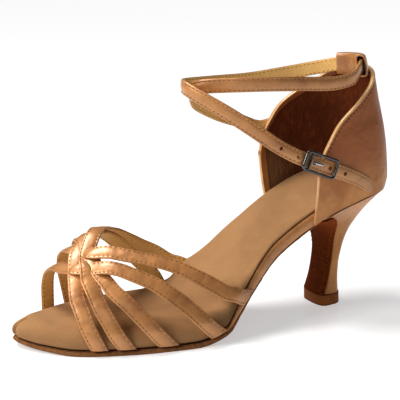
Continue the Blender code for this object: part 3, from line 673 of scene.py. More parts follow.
def shade(colour, *shares):
    """A darker or lighter tone of a colour: one share for all its channels, or one for each."""
    shares *= 3 // len(shares)
    return tuple(min(channel * share, 1.0) for channel, share in zip(colour, shares)) + (1.0,)


def satin(base, sewn=False, painted_shade_heights=None, gloss=0.85):
    """Fine satin, softly glossy; sewn satin follows its strap, and the heights given for painted shade darken
    it upwards between them.
    """
    paint = Paint(Metallic=0.25, Specular_IOR_Level=0.35, Coat_Weight=gloss, Coat_Roughness=0.30)
    place = paint.place(uv=sewn)
    threads = paint.grain(paint.scaled(place, 0.12, 1.0, 1.0), 0.00022, 1.0)
    slubs = paint.grain(paint.scaled(place, 0.3, 1.0, 1.0), 0.0009, 3.0)
    puckers = paint.grain(place, 0.0065, 1.5, 0.5, 0.3)
    mottle_and_sheen = paint.grain(place, 0.018, 3.0, 0.6)
    colour = paint.blots(shade(base, 1.0), slubs, 0.35, 0.75, 0.30, shade(base, 0.74))
    # Broad blots, darker and paler: partly the satin's own uneven tone, partly painted shade and painted
    # sheen
    colour = paint.blots(colour, mottle_and_sheen, 0.48, 0.68, 0.60, shade(base, 0.62, 0.52, 0.50))
    colour = paint.mix((1.0 - paint.step(mottle_and_sheen, 0.34, 0.50)) * 0.45, colour, shade(base, 1.30))
    # Painted shade: darker upwards between the heights, for the shaded top of the cup
    if painted_shade_heights:
        climb = paint.step(paint.axis(place, "Z") + (mottle_and_sheen * 0.02 - 0.01), *painted_shade_heights)
        colour = paint.mix(climb, colour, shade(base, 0.70, 0.50, 0.42))
    height = threads * 0.10 + slubs * 0.16 + puckers * 2.6
    return paint.finish(colour, 0.34 + slubs * 0.14 + mottle_and_sheen * 0.10, height, 0.00042, 0.62)


def leather(base):
    """The straps' golden lining, smooth and finely creased."""
    paint = Paint(Specular_IOR_Level=0.35)
    place = paint.place(uv=True)
    pores = paint.grain(place, 0.0006, 3.0, 0.65)
    creases = paint.grain(paint.scaled(place, 1.0, 0.4, 1.0), 0.0035, 3.0, 0.6, 0.8)
    colour = paint.blots(shade(base, 1.0), pores, 0.35, 0.7, 0.6, shade(base, 0.55))
    colour = paint.blots(colour, creases, 0.5, 0.8, 0.5, shade(base, 1.35))
    return paint.finish(colour, 0.52 + pores * 0.15, pores * 0.5 + creases, 0.0003, 0.6)


def nubuck(base):
    """Sand-brown nubuck, brushed and slightly cloudy, with painted shade in places where a strap shades it.
    """
    paint = Paint(Specular_IOR_Level=0.2, Sheen_Weight=0.08, Sheen_Roughness=0.5)
    place = paint.place()
    nap = paint.grain(place, 0.0004, 4.0, 0.7)
    specks = paint.grain(place, 0.0011, 3.0, 0.6)
    clouds = paint.grain(place, 0.016, 3.0, 0.55, 0.5)
    colour = paint.blots(shade(base, 1.0), nap, 0.35, 0.7, 0.35, shade(base, 0.72))
    colour = paint.blots(colour, specks, 0.5, 0.75, 0.40, shade(base, 1.35))
    colour = paint.blots(colour, clouds, 0.42, 0.66, 0.40, shade(base, 0.78))
    ragged = paint.grain(place, 0.006, 3.0) * 0.008 - 0.004
    # Painted shade: dark spots where a strap shades the insole
    for spot, radius, depth in INSOLE_PAINTED_SHADE:
        near = 1.0 - paint.step(paint.away_from(place, spot + SHIFT) + ragged, 0.0, radius)
        colour = paint.mix(near * depth, colour, shade(base, 0.22))
    return paint.finish(colour, 0.84 + nap * 0.12, nap * 0.7 + specks * 0.6, 0.00025, 0.7)


def suede(base, paler=None):
    """Coarse suede with a ragged nap; paler gives heights between which it turns paler towards the top."""
    paint = Paint(Specular_IOR_Level=0.04)
    place = paint.place()
    nap = paint.grain(place, 0.0005, 4.0, 0.75)
    tufts = paint.grain(place, 0.0022, 3.0, 0.65, 0.6)
    clouds = paint.grain(place, 0.011, 2.0)
    colour = paint.blots(shade(base, 1.0), tufts, 0.35, 0.7, 0.7, shade(base, 0.5))
    colour = paint.blots(colour, nap, 0.5, 0.8, 0.5, shade(base, 1.6))
    colour = paint.blots(colour, clouds, 0.4, 0.7, 0.3, shade(base, 0.7))
    if paler:
        climb = paint.step(paint.axis(place, "Z") + (tufts * 0.012 - 0.006), *paler)
        colour = paint.mix(climb * 0.7, colour, shade(base, 1.5))
    return paint.finish(colour, 0.93, nap + tufts * 1.4, 0.0005, 0.8)


def cup_lining(base, lit_tone):
    """Dark brown brushed leather inside the cup, with long soft crumples and one paler spot of painted light.
    """
    paint = Paint(Specular_IOR_Level=0.08)
    place = paint.place()
    nap = paint.grain(place, 0.0007, 4.0, 0.7)
    strokes = paint.grain(paint.scaled(place, 1.0, 1.0, 0.45), 0.0042, 3.0, 0.6, 1.4)
    colour = paint.blots(shade(base, 1.0), strokes, 0.45, 0.75, 0.7, shade(base, 1.9))
    colour = paint.blots(colour, nap, 0.4, 0.75, 0.4, shade(base, 0.6))
    # Painted light: a paler patch where light falls on the lining
    ragged = paint.grain(place, 0.007, 3.0) * 0.016 - 0.008
    lit_patch = 1.0 - paint.step(paint.away_from(place, LINING_PAINTED_LIGHT + SHIFT) + ragged, 0.004, 0.020)
    colour = paint.mix(lit_patch * 0.85, colour, shade(lit_tone, 0.62))
    return paint.finish(colour, 0.70 + nap * 0.15, nap * 0.3 + strokes * 1.2, 0.0006, 0.7)


def thread(colour, tone):
    paint = Paint(Specular_IOR_Level=0.3)
    strands = paint.grain(paint.place(), 0.0003, 2.0)
    base = shade(colour, tone)
    colour = paint.mix(paint.step(strands, 0.35, 0.7), base, shade(base, 0.6))
    return paint.finish(colour, 0.7, strands, 0.0001, 0.5)


def chrome(colour, tone=1.0):
    """Polished chrome, a little hazed; its dark base colour is painted reflection, standing in for a dark
    room that it reflects.
    """
    paint = Paint(Metallic=1.0, Coat_Weight=1.0, Coat_Roughness=0.04)
    place = paint.place()
    haze = paint.grain(place, 0.0030, 3.0)
    pits = paint.grain(place, 0.0004, 2.0)
    base = shade(colour, tone)
    return paint.finish(
        paint.blots(base, haze, 0.4, 0.7, 0.4, shade(base, 0.6)), 0.10 + haze * 0.12, pits, 0.00002, 0.3
    )


def rubber(base):
    """Matt brown rubber with upright scuffs, darker where it meets the floor."""
    paint = Paint(Specular_IOR_Level=0.12)
    place = paint.place()
    scuffs = paint.grain(paint.scaled(place, 1.0, 1.0, 0.2), 0.0012, 3.0, 0.65)
    colour = paint.blots(shade(base, 1.0), scuffs, 0.4, 0.75, 0.5, shade(base, 0.5))
    low = 1.0 - paint.step(paint.axis(place, "Z"), 0.0, 0.0016)
    colour = paint.mix(low * 0.6, colour, shade(base, 0.45))
    return paint.finish(colour, 0.55 + scuffs * 0.2, scuffs, 0.0002, 0.5)


MATERIALS = {}


def coat(name, maker, *inputs, **options):
    """Returns one material by name, made when it is first asked for."""
    if name not in MATERIALS:
        MATERIALS[name] = maker(*inputs, **options)
        MATERIALS[name].name = name
    return MATERIALS[name]


# Modelling
def alone(piece):
    """Makes a piece the only one selected, and the active one."""
    bpy.ops.object.select_all(action="DESELECT")
    piece.select_set(True)
    bpy.context.view_layer.objects.active = piece


def apply_modifier(piece, kind, **settings):
    alone(piece)
    step = piece.modifiers.new(kind.lower(), kind)
    for name, value in settings.items():
        setattr(step, name, value)
    bpy.ops.object.modifier_apply(modifier=step.name)


def smooth(piece, levels):
    if levels:
        apply_modifier(piece, "SUBSURF", levels=levels, render_levels=levels)


def dressed(piece, name, material, replaces=None, angle=60):
    """Names a finished piece, gives it its material and lets it ride with the sandal."""
    piece.name = piece.data.name = name
    piece.data.materials.clear()
    piece.data.materials.append(material)
    alone(piece)
    bpy.ops.object.shade_smooth_by_angle(angle=math.radians(angle))
    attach(piece, BODY)
    if replaces:
        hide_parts(replaces)


def select_edges(mesh, wanted):
    bpy.context.tool_settings.mesh_select_mode = (False, True, False)
    for part in (mesh.vertices, mesh.polygons):
        part.foreach_set("select", [False] * len(part))
    mesh.edges.foreach_set("select", wanted)


def tube(rings, widths=None, levels=0):
    """Lays a plain tube over rings of points: its cuts along, and its corners round.

    Where widths are given, its UV map holds metres along the tube and metres across it.
    """
    around, cuts = len(rings[0]), len(rings) - 1
    bpy.ops.object.select_all(action="DESELECT")
    bpy.ops.mesh.primitive_cylinder_add(vertices=around, radius=1.0, depth=1.0)
    piece = bpy.context.active_object
    mesh = piece.data
    level = [vertex.co.z for vertex in mesh.vertices]
    select_edges(mesh, [abs(level[e.vertices[0]] - level[e.vertices[1]]) > 0.5 for e in mesh.edges])
    if cuts > 1:
        bpy.ops.object.mode_set(mode="EDIT")
        bpy.ops.mesh.subdivide(number_cuts=cuts - 1)
        bpy.ops.object.mode_set(mode="OBJECT")
    places = []
    for vertex in mesh.vertices:
        ring = round((vertex.co.z + 0.5) * cuts)
        corner = round(math.atan2(vertex.co.x, vertex.co.y) / (2 * math.pi / around)) % around
        places.append((ring, corner))
        vertex.co = rings[ring][corner] + SHIFT
    lengths = [0.0]
    for before, after in zip(rings, rings[1:]):
        lengths.append(lengths[-1] + sum(((b - a).length for a, b in zip(before, after)), 0.0) / around)
    if widths:
        layer = mesh.uv_layers.active.data
        for loop in mesh.loops:
            ring, corner = places[loop.vertex_index]
            layer[loop.index].uv = (lengths[ring], widths[corner])
    face_outwards(piece)
    smooth(piece, levels)
    return piece


def face_outwards(piece):
    alone(piece)
    bpy.ops.object.mode_set(mode="EDIT")
    bpy.ops.mesh.select_all(action="SELECT")
    bpy.ops.mesh.normals_make_consistent(inside=False)
    bpy.ops.object.mode_set(mode="OBJECT")


def hoop(path, radius, flat, sides=16):
    """Lays a ring's tube along a closed path that lies across the direction flat."""
    bpy.ops.object.select_all(action="DESELECT")
    count = len(path)
    bpy.ops.mesh.primitive_torus_add(
        major_segments=count, minor_segments=sides, major_radius=1.0, minor_radius=0.25
    )
    piece = bpy.context.active_object
    for vertex in piece.data.vertices:
        at = round(math.atan2(vertex.co.y, vertex.co.x) / (2 * math.pi / count)) % count
        turn = math.atan2(vertex.co.z, math.hypot(vertex.co.x, vertex.co.y) - 1.0)
        side = (path[(at + 1) % count] - path[at - 1]).normalized().cross(flat).normalized()
        vertex.co = path[at] + (side * math.cos(turn) + flat * math.sin(turn)) * radius + SHIFT
    face_outwards(piece)
    return piece


def rod(path, radius, flat, sides=14):
    """A round wire along an open path, with rounded ends."""
    dome = ((0.0, 1.0), (0.6, 0.8), (0.92, 0.4))
    turns = [2 * math.pi * j / sides for j in range(sides)]
    last = len(path) - 1
    rings = []
    for i, point in enumerate(path):
        run = (path[min(i + 1, last)] - path[max(i - 1, 0)]).normalized()
        side = run.cross(flat).normalized()
        up = side.cross(run)
        ends = dome if i == last else dome[:1]
        if i == 0:
            ends = [(-reach, share) for reach, share in reversed(dome)]
        for reach, share in ends:
            middle = point + run * reach * radius
            rings.append([middle + (side * math.cos(a) + up * math.sin(a)) * radius * share for a in turns])
    return tube(rings)


def copy_of(node, bevel, levels=0):
    """A copy of a solid, merged and with its edges rounded."""
    bpy.ops.object.select_all(action="DESELECT")
    piece = bpy.data.objects.new(node + "_copy", frame["nodes"][node].data.copy())
    bpy.context.scene.collection.objects.link(piece)
    alone(piece)
    bpy.ops.object.mode_set(mode="EDIT")
    bpy.ops.mesh.select_all(action="SELECT")
    bpy.ops.mesh.remove_doubles(threshold=1e-6)
    bpy.ops.mesh.tris_convert_to_quads(face_threshold=math.radians(20), shape_threshold=math.radians(60))
    bpy.ops.object.mode_set(mode="OBJECT")
    apply_modifier(
        piece, "BEVEL", width=bevel, segments=2, limit_method="ANGLE", angle_limit=math.radians(40),
        use_clamp_overlap=True,
    )
    smooth(piece, levels)
    return piece


def stitch_rows(name, rows, look, tone=1.0):
    """Sews rows of stitches: each row is a list of points, with the run and the face's direction at each.

    One stitch is modelled, and its shape is then repeated along all the rows as one mesh.
    """
    bpy.ops.object.select_all(action="DESELECT")
    bpy.ops.mesh.primitive_uv_sphere_add(segments=6, ring_count=5, radius=0.5)
    piece = bpy.context.active_object
    first = piece.data
    shape = []
    for vertex in first.vertices:
        # Both ends dive into the cloth
        dive = look.thread_width * 0.45 * (2 * abs(vertex.co.z)) ** 2
        shape.append(Vector((
            vertex.co.z * look.stitch_length,
            vertex.co.x * look.thread_width,
            vertex.co.y * look.thread_width * 0.8 - dive,
        )))
    corners = [tuple(face.vertices) for face in first.polygons]
    points, faces = [], []
    for point, run, out in [stitch for row in rows for stitch in row]:
        turned = Matrix((run, out.cross(run), out)).transposed()
        faces += [tuple(len(points) + i for i in face) for face in corners]
        points += [point + turned @ place + SHIFT for place in shape]
    mesh = bpy.data.meshes.new(name)
    mesh.from_pydata([tuple(point) for point in points], [], faces)
    piece.data = mesh
    bpy.data.meshes.remove(first)
    dressed(piece, name, coat(f"thread_{round(tone * 100)}", thread, look.thread, tone), angle=180)


def spaced(place, length, spacing, start=0.0):
    """Points along a row at even spacing; place gives the point, run and face at a length along it."""
    count = max(int((length - 2 * start) / spacing), 1)
    return [place(start + spacing * (i + 0.5)) for i in range(count)]


def strap_stitches(look, frame_at, length, width, thickness):
    """Four rows along a strap, by both edges of both faces.

    At a length along it, frame_at gives the strap's middle and its directions along, across and out.
    """
    rows = []
    for side, face in ((-1, 1), (-1, -1), (1, 1), (1, -1)):
        def place(gone, side=side, face=face):
            middle, run, across, out = frame_at(gone)
            rise = (SATIN_DIP if face > 0 else LINING_DIP) * thickness / 2 + 0.10 * look.thread_width
            return middle + across * (side * STITCH_LINE * width / 2) + out * (face * rise), run, out * face

        rows.append(spaced(place, length, look.stitch_spacing, 0.001))
    return rows


def mirrored(folds):
    """The section of a whole strap from its half: across and out, once round."""
    half = [(fold.across, fold.out) for fold in folds]
    middle = [(0.0, folds[-1].out)]
    other = [(-across, out) for across, out in reversed(half)]
    return [(0.0, folds[0].out)] + half + middle + other


def waver(point, size):
    """A soft wave from -1 to 1 with bumps of a size in metres."""
    return noise.noise(point / size)


def strap_tube(frames, folds, width, thickness, look=None, levels=0):
    """A band with a folded section along a list of (middle, across, out).

    With the settings given, each stitch pulls the band in a little and its face and edges are uneven.
    """
    section = mirrored(folds)
    rings = []
    gone = 0.0
    before = frames[0][0]
    for middle, across, out in frames:
        gone += (middle - before).length
        before = middle
        ring = []
        for a, o in section:
            point = middle + across * (width / 2 * a) + out * (thickness / 2 * o)
            if look and abs(a) > 0.4 and o > 0:
                pull = 0.5 + 0.5 * math.cos(2 * math.pi * (gone - 0.001) / look.stitch_spacing - math.pi)
                point -= out * (look.pucker * pull) + across * (math.copysign(0.4, a) * look.pucker * pull)
            if look and o > 0:
                point += out * (0.6 * look.pucker * waver(point, 0.0035))
                point += across * (0.8 * look.pucker * waver(point, 0.0060))
            ring.append(point)
        rings.append(ring)
    return tube(rings, [a * width / 2 for a, _ in section], levels)


def length_prop(label, about, default, least=0.0):
    return FloatProperty(name=label, description=about, default=default, min=least, unit="LENGTH")


def share_prop(label, about, default, least=0.0):
    return FloatProperty(name=label, description=about, default=default, min=least)


def colour_prop(label, about, default):
    return FloatVectorProperty(name=label, description=about, subtype="COLOR", default=default, size=3)


class SandalSettings(bpy.types.PropertyGroup):
    """Sizes and colours of the sandal's finish."""

    stitch_length: length_prop("Stitch length", "Length of one stitch", 0.0012, 0.0005)
    stitch_spacing: length_prop("Stitch spacing", "From one stitch to the next", 0.0024, 0.001)
    thread_width: length_prop("Thread", "Width of the thread", 0.00045, 0.0001)
    binding: length_prop("Binding", "Width of the rolled edge of the cup", 0.0013, 0.0003)
    crown: length_prop("Crown", "How far the insole's top falls to its outer side", 0.0018)
    toe_fall: share_prop("Toe fall", "Share of the insole's height that it loses at the toe", 0.32)
    toe_tuck: length_prop("Toe tuck", "How far the outsole's edge lies back at the toe", 0.0013)
    waist_tuck: length_prop("Waist tuck", "How far the outsole's edge lies back at the waist", 0.0005)
    cup_turning: length_prop("Cup turning", "Width of satin turned in over the cup's edge", 0.0036, 0.0005)
    cup_waves: length_prop("Cup waves", "Height of the soft waves in the cup's satin", 0.00025)
    tail_end: share_prop("Tail end", "Share of the ankle strap's width that is left at its end", 0.72, 0.1)
    tail_round: length_prop("Tail rounding", "Length of the ankle strap's rounded end", 0.0046, 0.001)
    pucker: length_prop("Pucker", "How deep each stitch pulls the satin in", 0.00013)
    strap_steps: IntProperty(
        name="Strap steps", description="Cuts between two places along a toe strap", default=12, min=3, max=24
    )
    satin: colour_prop("Satin", "Colour of the satin", (0.48, 0.226, 0.078))
    # Painted highlight: the cup's rolled edge gets a paler satin colour, standing in for the light it catches
    highlit_edge_satin: colour_prop("Edge satin", "Colour of the cup's rolled edge", (0.62, 0.37, 0.16))
    lining: colour_prop("Lining", "Colour of the straps' lining", (0.98, 0.64, 0.25))
    cup_lining: colour_prop("Cup lining", "Colour inside the cup", (0.120, 0.031, 0.009))
    nubuck: colour_prop("Nubuck", "Colour of the insole", (0.345, 0.190, 0.086))
    outsole: colour_prop("Outsole", "Colour of the sole's suede", (0.30, 0.140, 0.060))
    flap: colour_prop("Flap", "Colour of the heel's suede", (0.20, 0.046, 0.008))
    tip: colour_prop("Tip", "Colour of the heel tip", (0.30, 0.105, 0.026))
    thread: colour_prop("Thread colour", "Colour of the stitches", (0.30, 0.135, 0.050))
    # Painted reflection: the buckle's colour is dark, standing in for the dark room that its chrome reflects
    chrome: colour_prop("Chrome", "Colour of the buckle", (0.065, 0.065, 0.068))


class SANDAL_OT_stage(bpy.types.Operator):
    """Makes the pale floor, the soft light and the camera"""

    bl_idname = "sandal.stage"
    bl_label = "Stage"

    def execute(self, context):
        bpy.ops.object.select_all(action="DESELECT")
        bpy.ops.mesh.primitive_plane_add(size=14.0, location=(0.0, 3.0, 0.0))
        floor = context.active_object
        floor.name = "floor"
        paint = Paint(Specular_IOR_Level=0.3, Emission_Color=(0.98, 0.985, 1.0, 1.0), Emission_Strength=0.50)
        mottle = paint.grain(paint.place(), 0.4, 2.0)
        paper = paint.mix(mottle * 0.03, (0.58, 0.58, 0.59, 1.0), (0.53, 0.535, 0.55, 1.0))
        paint.material.name = "floor_paper"
        floor.data.materials.append(paint.finish(paper, 0.16))
        target = VIEW_TARGET + SHIFT
        for name, kind, place, size, power, colour in (
            ("sun", "SUN", (-0.22, 0.40, 1.00), math.radians(26), 3.2, (1.0, 0.985, 0.95)),
            ("left", "AREA", (-0.85, -0.05, 0.62), 0.42, 7.5, (1.0, 0.985, 0.93)),
            ("front", "AREA", (-0.60, -0.95, 0.70), 0.30, 0.9, (1.0, 0.99, 0.97)),
        ):
            bpy.ops.object.light_add(type=kind, location=place)
            lamp = context.active_object
            lamp.name = name
            lamp.data.energy = power
            lamp.data.color = colour
            setattr(lamp.data, "angle" if kind == "SUN" else "size", size)
            lamp.rotation_euler = (target - lamp.location).to_track_quat("-Z", "Y").to_euler()
        world = context.scene.world = bpy.data.worlds.new("studio")
        world.use_nodes = True
        sky = world.node_tree.nodes["Background"].inputs
        sky["Color"].default_value = (0.98, 0.99, 1.0, 1.0)
        sky["Strength"].default_value = 0.19
        forward = Vector((
            math.sin(VIEW_AZIMUTH) * math.cos(VIEW_ELEVATION),
            math.cos(VIEW_AZIMUTH) * math.cos(VIEW_ELEVATION),
            -math.sin(VIEW_ELEVATION),
        ))
        bpy.ops.object.camera_add(location=target - forward * VIEW_DISTANCE)
        camera = context.scene.camera = context.active_object
        camera.name = "camera"
        level = forward.to_track_quat("-Z", "Y").to_matrix()
        camera.rotation_euler = (level @ Matrix.Rotation(VIEW_ROLL, 3, "Z")).to_euler()
        camera.data.lens = VIEW_LENS
        camera.data.sensor_width = 36.0
        camera.data.clip_start, camera.data.clip_end = 0.01, 50.0
        context.scene.view_settings.view_transform = "Standard"
        context.scene.view_settings.gamma = 0.86
        return {"FINISHED"}


class SANDAL_OT_sole(bpy.types.Operator):
    """Makes the suede outsole and the satin rim over the waist board"""

    bl_idname = "sandal.sole"
    bl_label = "Sole"

    def execute(self, context):
        look = context.scene.sandal
        rings = []
        for angle in sole_angles(TOE_START, BREAST, 130):
            along = along_of(angle)
            # The cut edge of the suede is ragged
            ragged = 0.00045 * noise.noise(Vector((angle * 110.0, 0.0, 0.0)))
            tuck = look.toe_tuck * (1 - ease(0.0, 0.10, along))
            tuck += look.waist_tuck * ease(BALL_END, WAIST_START, along)
            profile = [(outward - tuck, share) for outward, share in (
                (-0.0006, 0.0), (0.0000 + ragged, 0.16), (0.0002 + ragged * 1.4, 0.42),
                (ragged, 0.72), (-0.0004, 0.93), (-0.0012, 1.0),
            )]
            rings.append(slab_ring(angle, profile, lambda x: 0.0, outsole_top, columns=3))
        nap = coat("outsole_suede", suede, look.outsole)
        dressed(tube(rings), "outsole_leather", nap, "outsole")
        profile = [(outward * INSOLE_INSET, share) for outward, share in RIM_PROFILE]
        rings = []
        for angle in sole_angles(BALL_END, 1.0, 90):
            rings.append(slab_ring(angle, profile, lambda x: outsole_top(x) + GAP, board_top))
        dressed(tube(rings), "waist_rim", coat("satin", satin, look.satin), "waist_board")
        return {"FINISHED"}


def insole_dip(x, y):
    """How deep the insole is creased at a place."""
    depth = 0.0
    for crease in CREASES:
        inward = abs(y - outline(angle_of(crease.along), crease.side).y)
        middle = crease.along * SOLE_LENGTH + crease.lean * inward
        fade = 1 - ease(0.0, crease.reach, inward)
        depth += crease.depth * math.exp(-((x - middle) / crease.width) ** 2) * fade
    return depth


class SANDAL_OT_insole(bpy.types.Operator):
    """Makes the padded insole"""

    bl_idname = "sandal.insole"
    bl_label = "Insole"

    def execute(self, context):
        look = context.scene.sandal
        rings = []
        for angle in sole_angles(TOE_START, 1 - TOE_START, 128):
            x = outline(angle, 1).x
            full = (insole_top(x) - insole_bottom(x)) / INSOLE_FORE
            rounding = blend(0.25, 1.0, min(full, 1.0))
            profile = []
            for inset, share in INSOLE_PROFILE:
                profile.append((-(INSOLE_INSET + (inset - INSOLE_INSET) * rounding), share))
            ring = slab_ring(angle, profile, insole_bottom, insole_top, columns=12)
            lowest = len(INSOLE_PROFILE) // 2
            for point in ring[lowest:-lowest]:
                inward = abs(point.y - outline(angle, -1).y)
                fall = look.crown * (1 - ease(0.0, 0.022, inward)) * (1 - ease(0.08, 0.12, point.x))
                fall *= ease(0.004, 0.030, point.x)
                point.z -= insole_dip(point.x, point.y) + fall
            for point in ring:
                foot = lift(point.x, insole_bottom(point.x))
                point.z -= (point.z - foot) * look.toe_fall * (1 - ease(0.0, 0.014, point.x))
            rings.append(ring)
        piece = tube(rings, levels=1)
        dressed(piece, "insole_pad", coat("insole_nubuck", nubuck, look.nubuck), "insole")
        return {"FINISHED"}


class SANDAL_OT_toe_straps(bpy.types.Operator):
    """Makes the five woven toe straps, each with its lining and stitches"""

    bl_idname = "sandal.toe_straps"
    bl_label = "Toe straps"

    def execute(self, context):
        look = context.scene.sandal
        sewn = coat("sewn_satin", satin, look.satin, sewn=True)
        lining = coat("lining_leather", leather, look.lining)
        size = (STRAP_WIDTH, STRAP_THICKNESS)
        rows = []
        for number, table in enumerate(TOE_STRAPS, 1):
            route = strap_route(table)
            last = len(table) - 1
            keys = [i / look.strap_steps for i in range(look.strap_steps * last + 1)]
            frames = [strap_frame(route, key, last) for key in keys]
            flat = [(middle, across, out) for middle, _, across, out in frames]
            piece = strap_tube(flat, SATIN_FOLD, *size, look, levels=1)
            dressed(piece, f"toe_strap_{number}", sewn, "toe_straps" if number == 1 else None)
            dressed(strap_tube(flat, LINING_FOLD, *size), f"toe_lining_{number}", lining)
            lengths = distances([middle for middle, *_ in frames])
            key_at = curve_through(lengths, keys)
            rows += strap_stitches(
                look, lambda gone: strap_frame(route, key_at(gone), last), lengths[-1], *size
            )
        stitch_rows("toe_strap_stitches", rows, look)
        return {"FINISHED"}


def cup_rim_path(steps):
    """Places round the cup's free edge, from the foot of its outer wing over the back to the inner one's."""
    front = angle_of(CUP_FRONT)
    low = cup_rim_at(CUP_FRONT) * CUP_HEIGHT
    half = [(front, low * i / 8) for i in range(8)]
    for angle in sole_angles(CUP_FRONT, 1.0, steps):
        half.append((angle, cup_rim_at(along_of(angle)) * CUP_HEIGHT))
    outer = [(angle, -1, height) for angle, height in half]
    inner = [(angle, 1, height) for angle, height in half]
    return outer + inner[-2::-1]


def cup_edge_frames(steps):
    """At each of those places: the middle of the wall, the run, the outer face and away over the edge."""
    path = cup_rim_path(steps)
    middles = [cup_point(angle, side, height, CUP_WALL / 2) for angle, side, height in path]
    frames = []
    last = len(path) - 1
    for i, (angle, side, height) in enumerate(path):
        run = (middles[min(i + 1, last)] - middles[max(i - 1, 0)]).normalized()
        out = (cup_point(angle, side, height, CUP_WALL) - cup_point(angle, side, height)).normalized()
        away = run.cross(out).normalized()
        inside = cup_point(angle, side, max(height - 0.004, 0.0), CUP_WALL / 2)
        if angle == path[0][0] and i not in (8, last - 8):
            inside = cup_point(angle + 0.05, side, height, CUP_WALL / 2)
        if away.dot(inside - middles[i]) > 0:
            away.negate()
        frames.append((middles[i], run, out, away))
    return frames


def cup_wall(angles, low, high, turned, waves=None):
    """A wall of the cup between two depths, which stops short of the rim by the turning.

    With waves given it is the outer cloth, which is turned in over the edge.
    """
    outer_cloth = waves is not None
    levels = 20
    over_at = CUP_FRONT + turned / SOLE_LENGTH
    rings = []
    for angle, side in [(a, -1) for a in angles] + [(a, 1) for a in reversed(angles[:-1])]:
        rim = cup_rim_at(along_of(angle)) * CUP_HEIGHT
        heights = [(rim - turned) * i / levels for i in range(levels + 1)]
        if outer_cloth:
            heights += [rim - turned + SEAM_STEP, rim - 0.0003]
        inner, outer = [], []
        for height in heights:
            over = outer_cloth and (height > rim - turned or along_of(angle) < over_at - 1e-6)
            inner.append(cup_point(angle, side, height, 0.0 if over else low))
            wave = (waves or 0.0) * waver(cup_point(angle, side, height, high), 0.011)
            outer.append(cup_point(angle, side, height, high + wave))
        rings.append(inner + outer[::-1])
    return tube(rings)


def cup_edge(frames, width):
    """The rolled edge along those frames, slimmer at the feet of the wings."""
    turns = [2 * math.pi * j / 14 for j in range(14)]
    last = len(frames) - 1
    rings = []
    for i, (middle, _, out, away) in enumerate(frames):
        slim = blend(0.45, 1.0, ease(5.0, 12.0, min(i, last - i)))
        ring = []
        for turn in turns:
            cos, sin = math.cos(turn), math.sin(turn)
            thick = math.copysign(abs(sin) ** 0.7, sin) * (CUP_WALL / 2 + 0.0003)
            beyond = away * (slim * width / 2 * (cos - 0.75))
            ring.append(middle + beyond + out * thick * blend(1.0, slim, 0.2))
        rings.append(ring)
    return tube(rings, levels=1)


class SANDAL_OT_cup(bpy.types.Operator):
    """Makes the heel cup: satin outside, lining inside, a rolled edge and its stitches"""

    bl_idname = "sandal.cup"
    bl_label = "Heel cup"

    def execute(self, context):
        look = context.scene.sandal
        turned = look.cup_turning
        turned_at = CUP_FRONT + turned / SOLE_LENGTH
        front = [angle_of(CUP_FRONT), angle_of(turned_at - SEAM_STEP / SOLE_LENGTH)]
        angles = sole_angles(turned_at, 1.0, 44)
        # Painted shade: the cup's satin is darker towards its top
        cloth = coat("cup_satin_cloth", satin, look.satin, **DULL_WITH_PAINTED_SHADE)
        piece = cup_wall(front + angles, 0.45 * CUP_WALL, CUP_WALL, turned, look.cup_waves)
        dressed(piece, "cup_satin", cloth, "heel_counter")
        piece = cup_wall(angles, 0.12 * CUP_WALL, 0.43 * CUP_WALL, turned)
        dressed(piece, "cup_lining", coat("cup_lining", cup_lining, look.cup_lining, look.nubuck))
        frames = cup_edge_frames(44)
        # Painted highlight: the rolled edge is a paler copy of the satin
        cloth = coat("binding_satin", satin, look.highlit_edge_satin)
        dressed(cup_edge(frames, look.binding), "cup_binding", cloth)
        middles = [frame[0] for frame in frames]
        lengths = distances(middles)
        path = path_through(lengths, middles)
        rows = []
        for face in (1, -1):
            def place(length, face=face):
                i = max(n for n in range(len(lengths)) if lengths[n] <= length)
                _, run, out, away = frames[i]
                point = path(length) - away * CUP_SEAM[face] + out * (face * (CUP_WALL / 2 + 0.00010))
                return point, run, out * face

            # Outside, no stitches show on the front edge under the buckle
            start = lengths[8] + 0.002 if face > 0 else 0.003
            rows.append(spaced(place, lengths[-1], look.stitch_spacing, start))
        stitch_rows("cup_stitches", rows, look, 0.6)
        return {"FINISHED"}


class SANDAL_OT_tunnel(bpy.types.Operator):
    """Makes the satin sleeve that holds the ankle strap at the top of the cup"""

    bl_idname = "sandal.tunnel"
    bl_label = "Strap tunnel"

    def execute(self, context):
        cloth = coat("satin", satin, context.scene.sandal.satin)
        dressed(copy_of("strap_tunnel", 0.0003, 1), "tunnel_sleeve", cloth, "strap_tunnel")
        return {"FINISHED"}


class SANDAL_OT_ankle_strap(bpy.types.Operator):
    """Makes the crossed ankle strap with its lining, punched holes and stitches"""

    bl_idname = "sandal.ankle_strap"
    bl_label = "Ankle strap"

    def execute(self, context):
        look = context.scene.sandal
        band = ANKLE_BAND
        size = (ANKLE_WIDTH, ANKLE_THICKNESS)
        keys = [band.length * i / ANKLE_CUTS for i in range(ANKLE_CUTS + 1)]
        # Two more cuts round the tail's end
        keys += [band.length * (1 - share / 90) for share in (0.2, 0.5)]
        flat = []
        for key in sorted(keys):
            middle, _, across, out = band.frame(key)
            left = band.length - key
            share = 1.0
            if left < look.tail_round:
                share = look.tail_end + (1 - look.tail_end) * math.sqrt(1 - (1 - left / look.tail_round) ** 2)
            flat.append((middle, across * share, out))
        body = strap_tube(flat, SATIN_FOLD, *size, look)
        lining = strap_tube(flat, LINING_FOLD, *size)
        for i in range(-HOLES_BEFORE, HOLES_AFTER + 1):
            middle, _, up, out = band.frame(PRONG_KEY + i * HOLE_SPACING)
            punch = rod([middle - out * ANKLE_THICKNESS, middle + out * ANKLE_THICKNESS], HOLE_RADIUS, up, 20)
            for piece in (body, lining):
                apply_modifier(piece, "BOOLEAN", operation="DIFFERENCE", solver="EXACT", object=punch)
            bpy.data.objects.remove(punch)
        dressed(body, "ankle_band", coat("sewn_satin", satin, look.satin, sewn=True), "ankle_strap")
        dressed(lining, "ankle_lining", coat("lining_leather", leather, look.lining))
        stitch_rows("ankle_stitches", strap_stitches(look, band.frame, band.length - 0.004, *size), look)
        return {"FINISHED"}


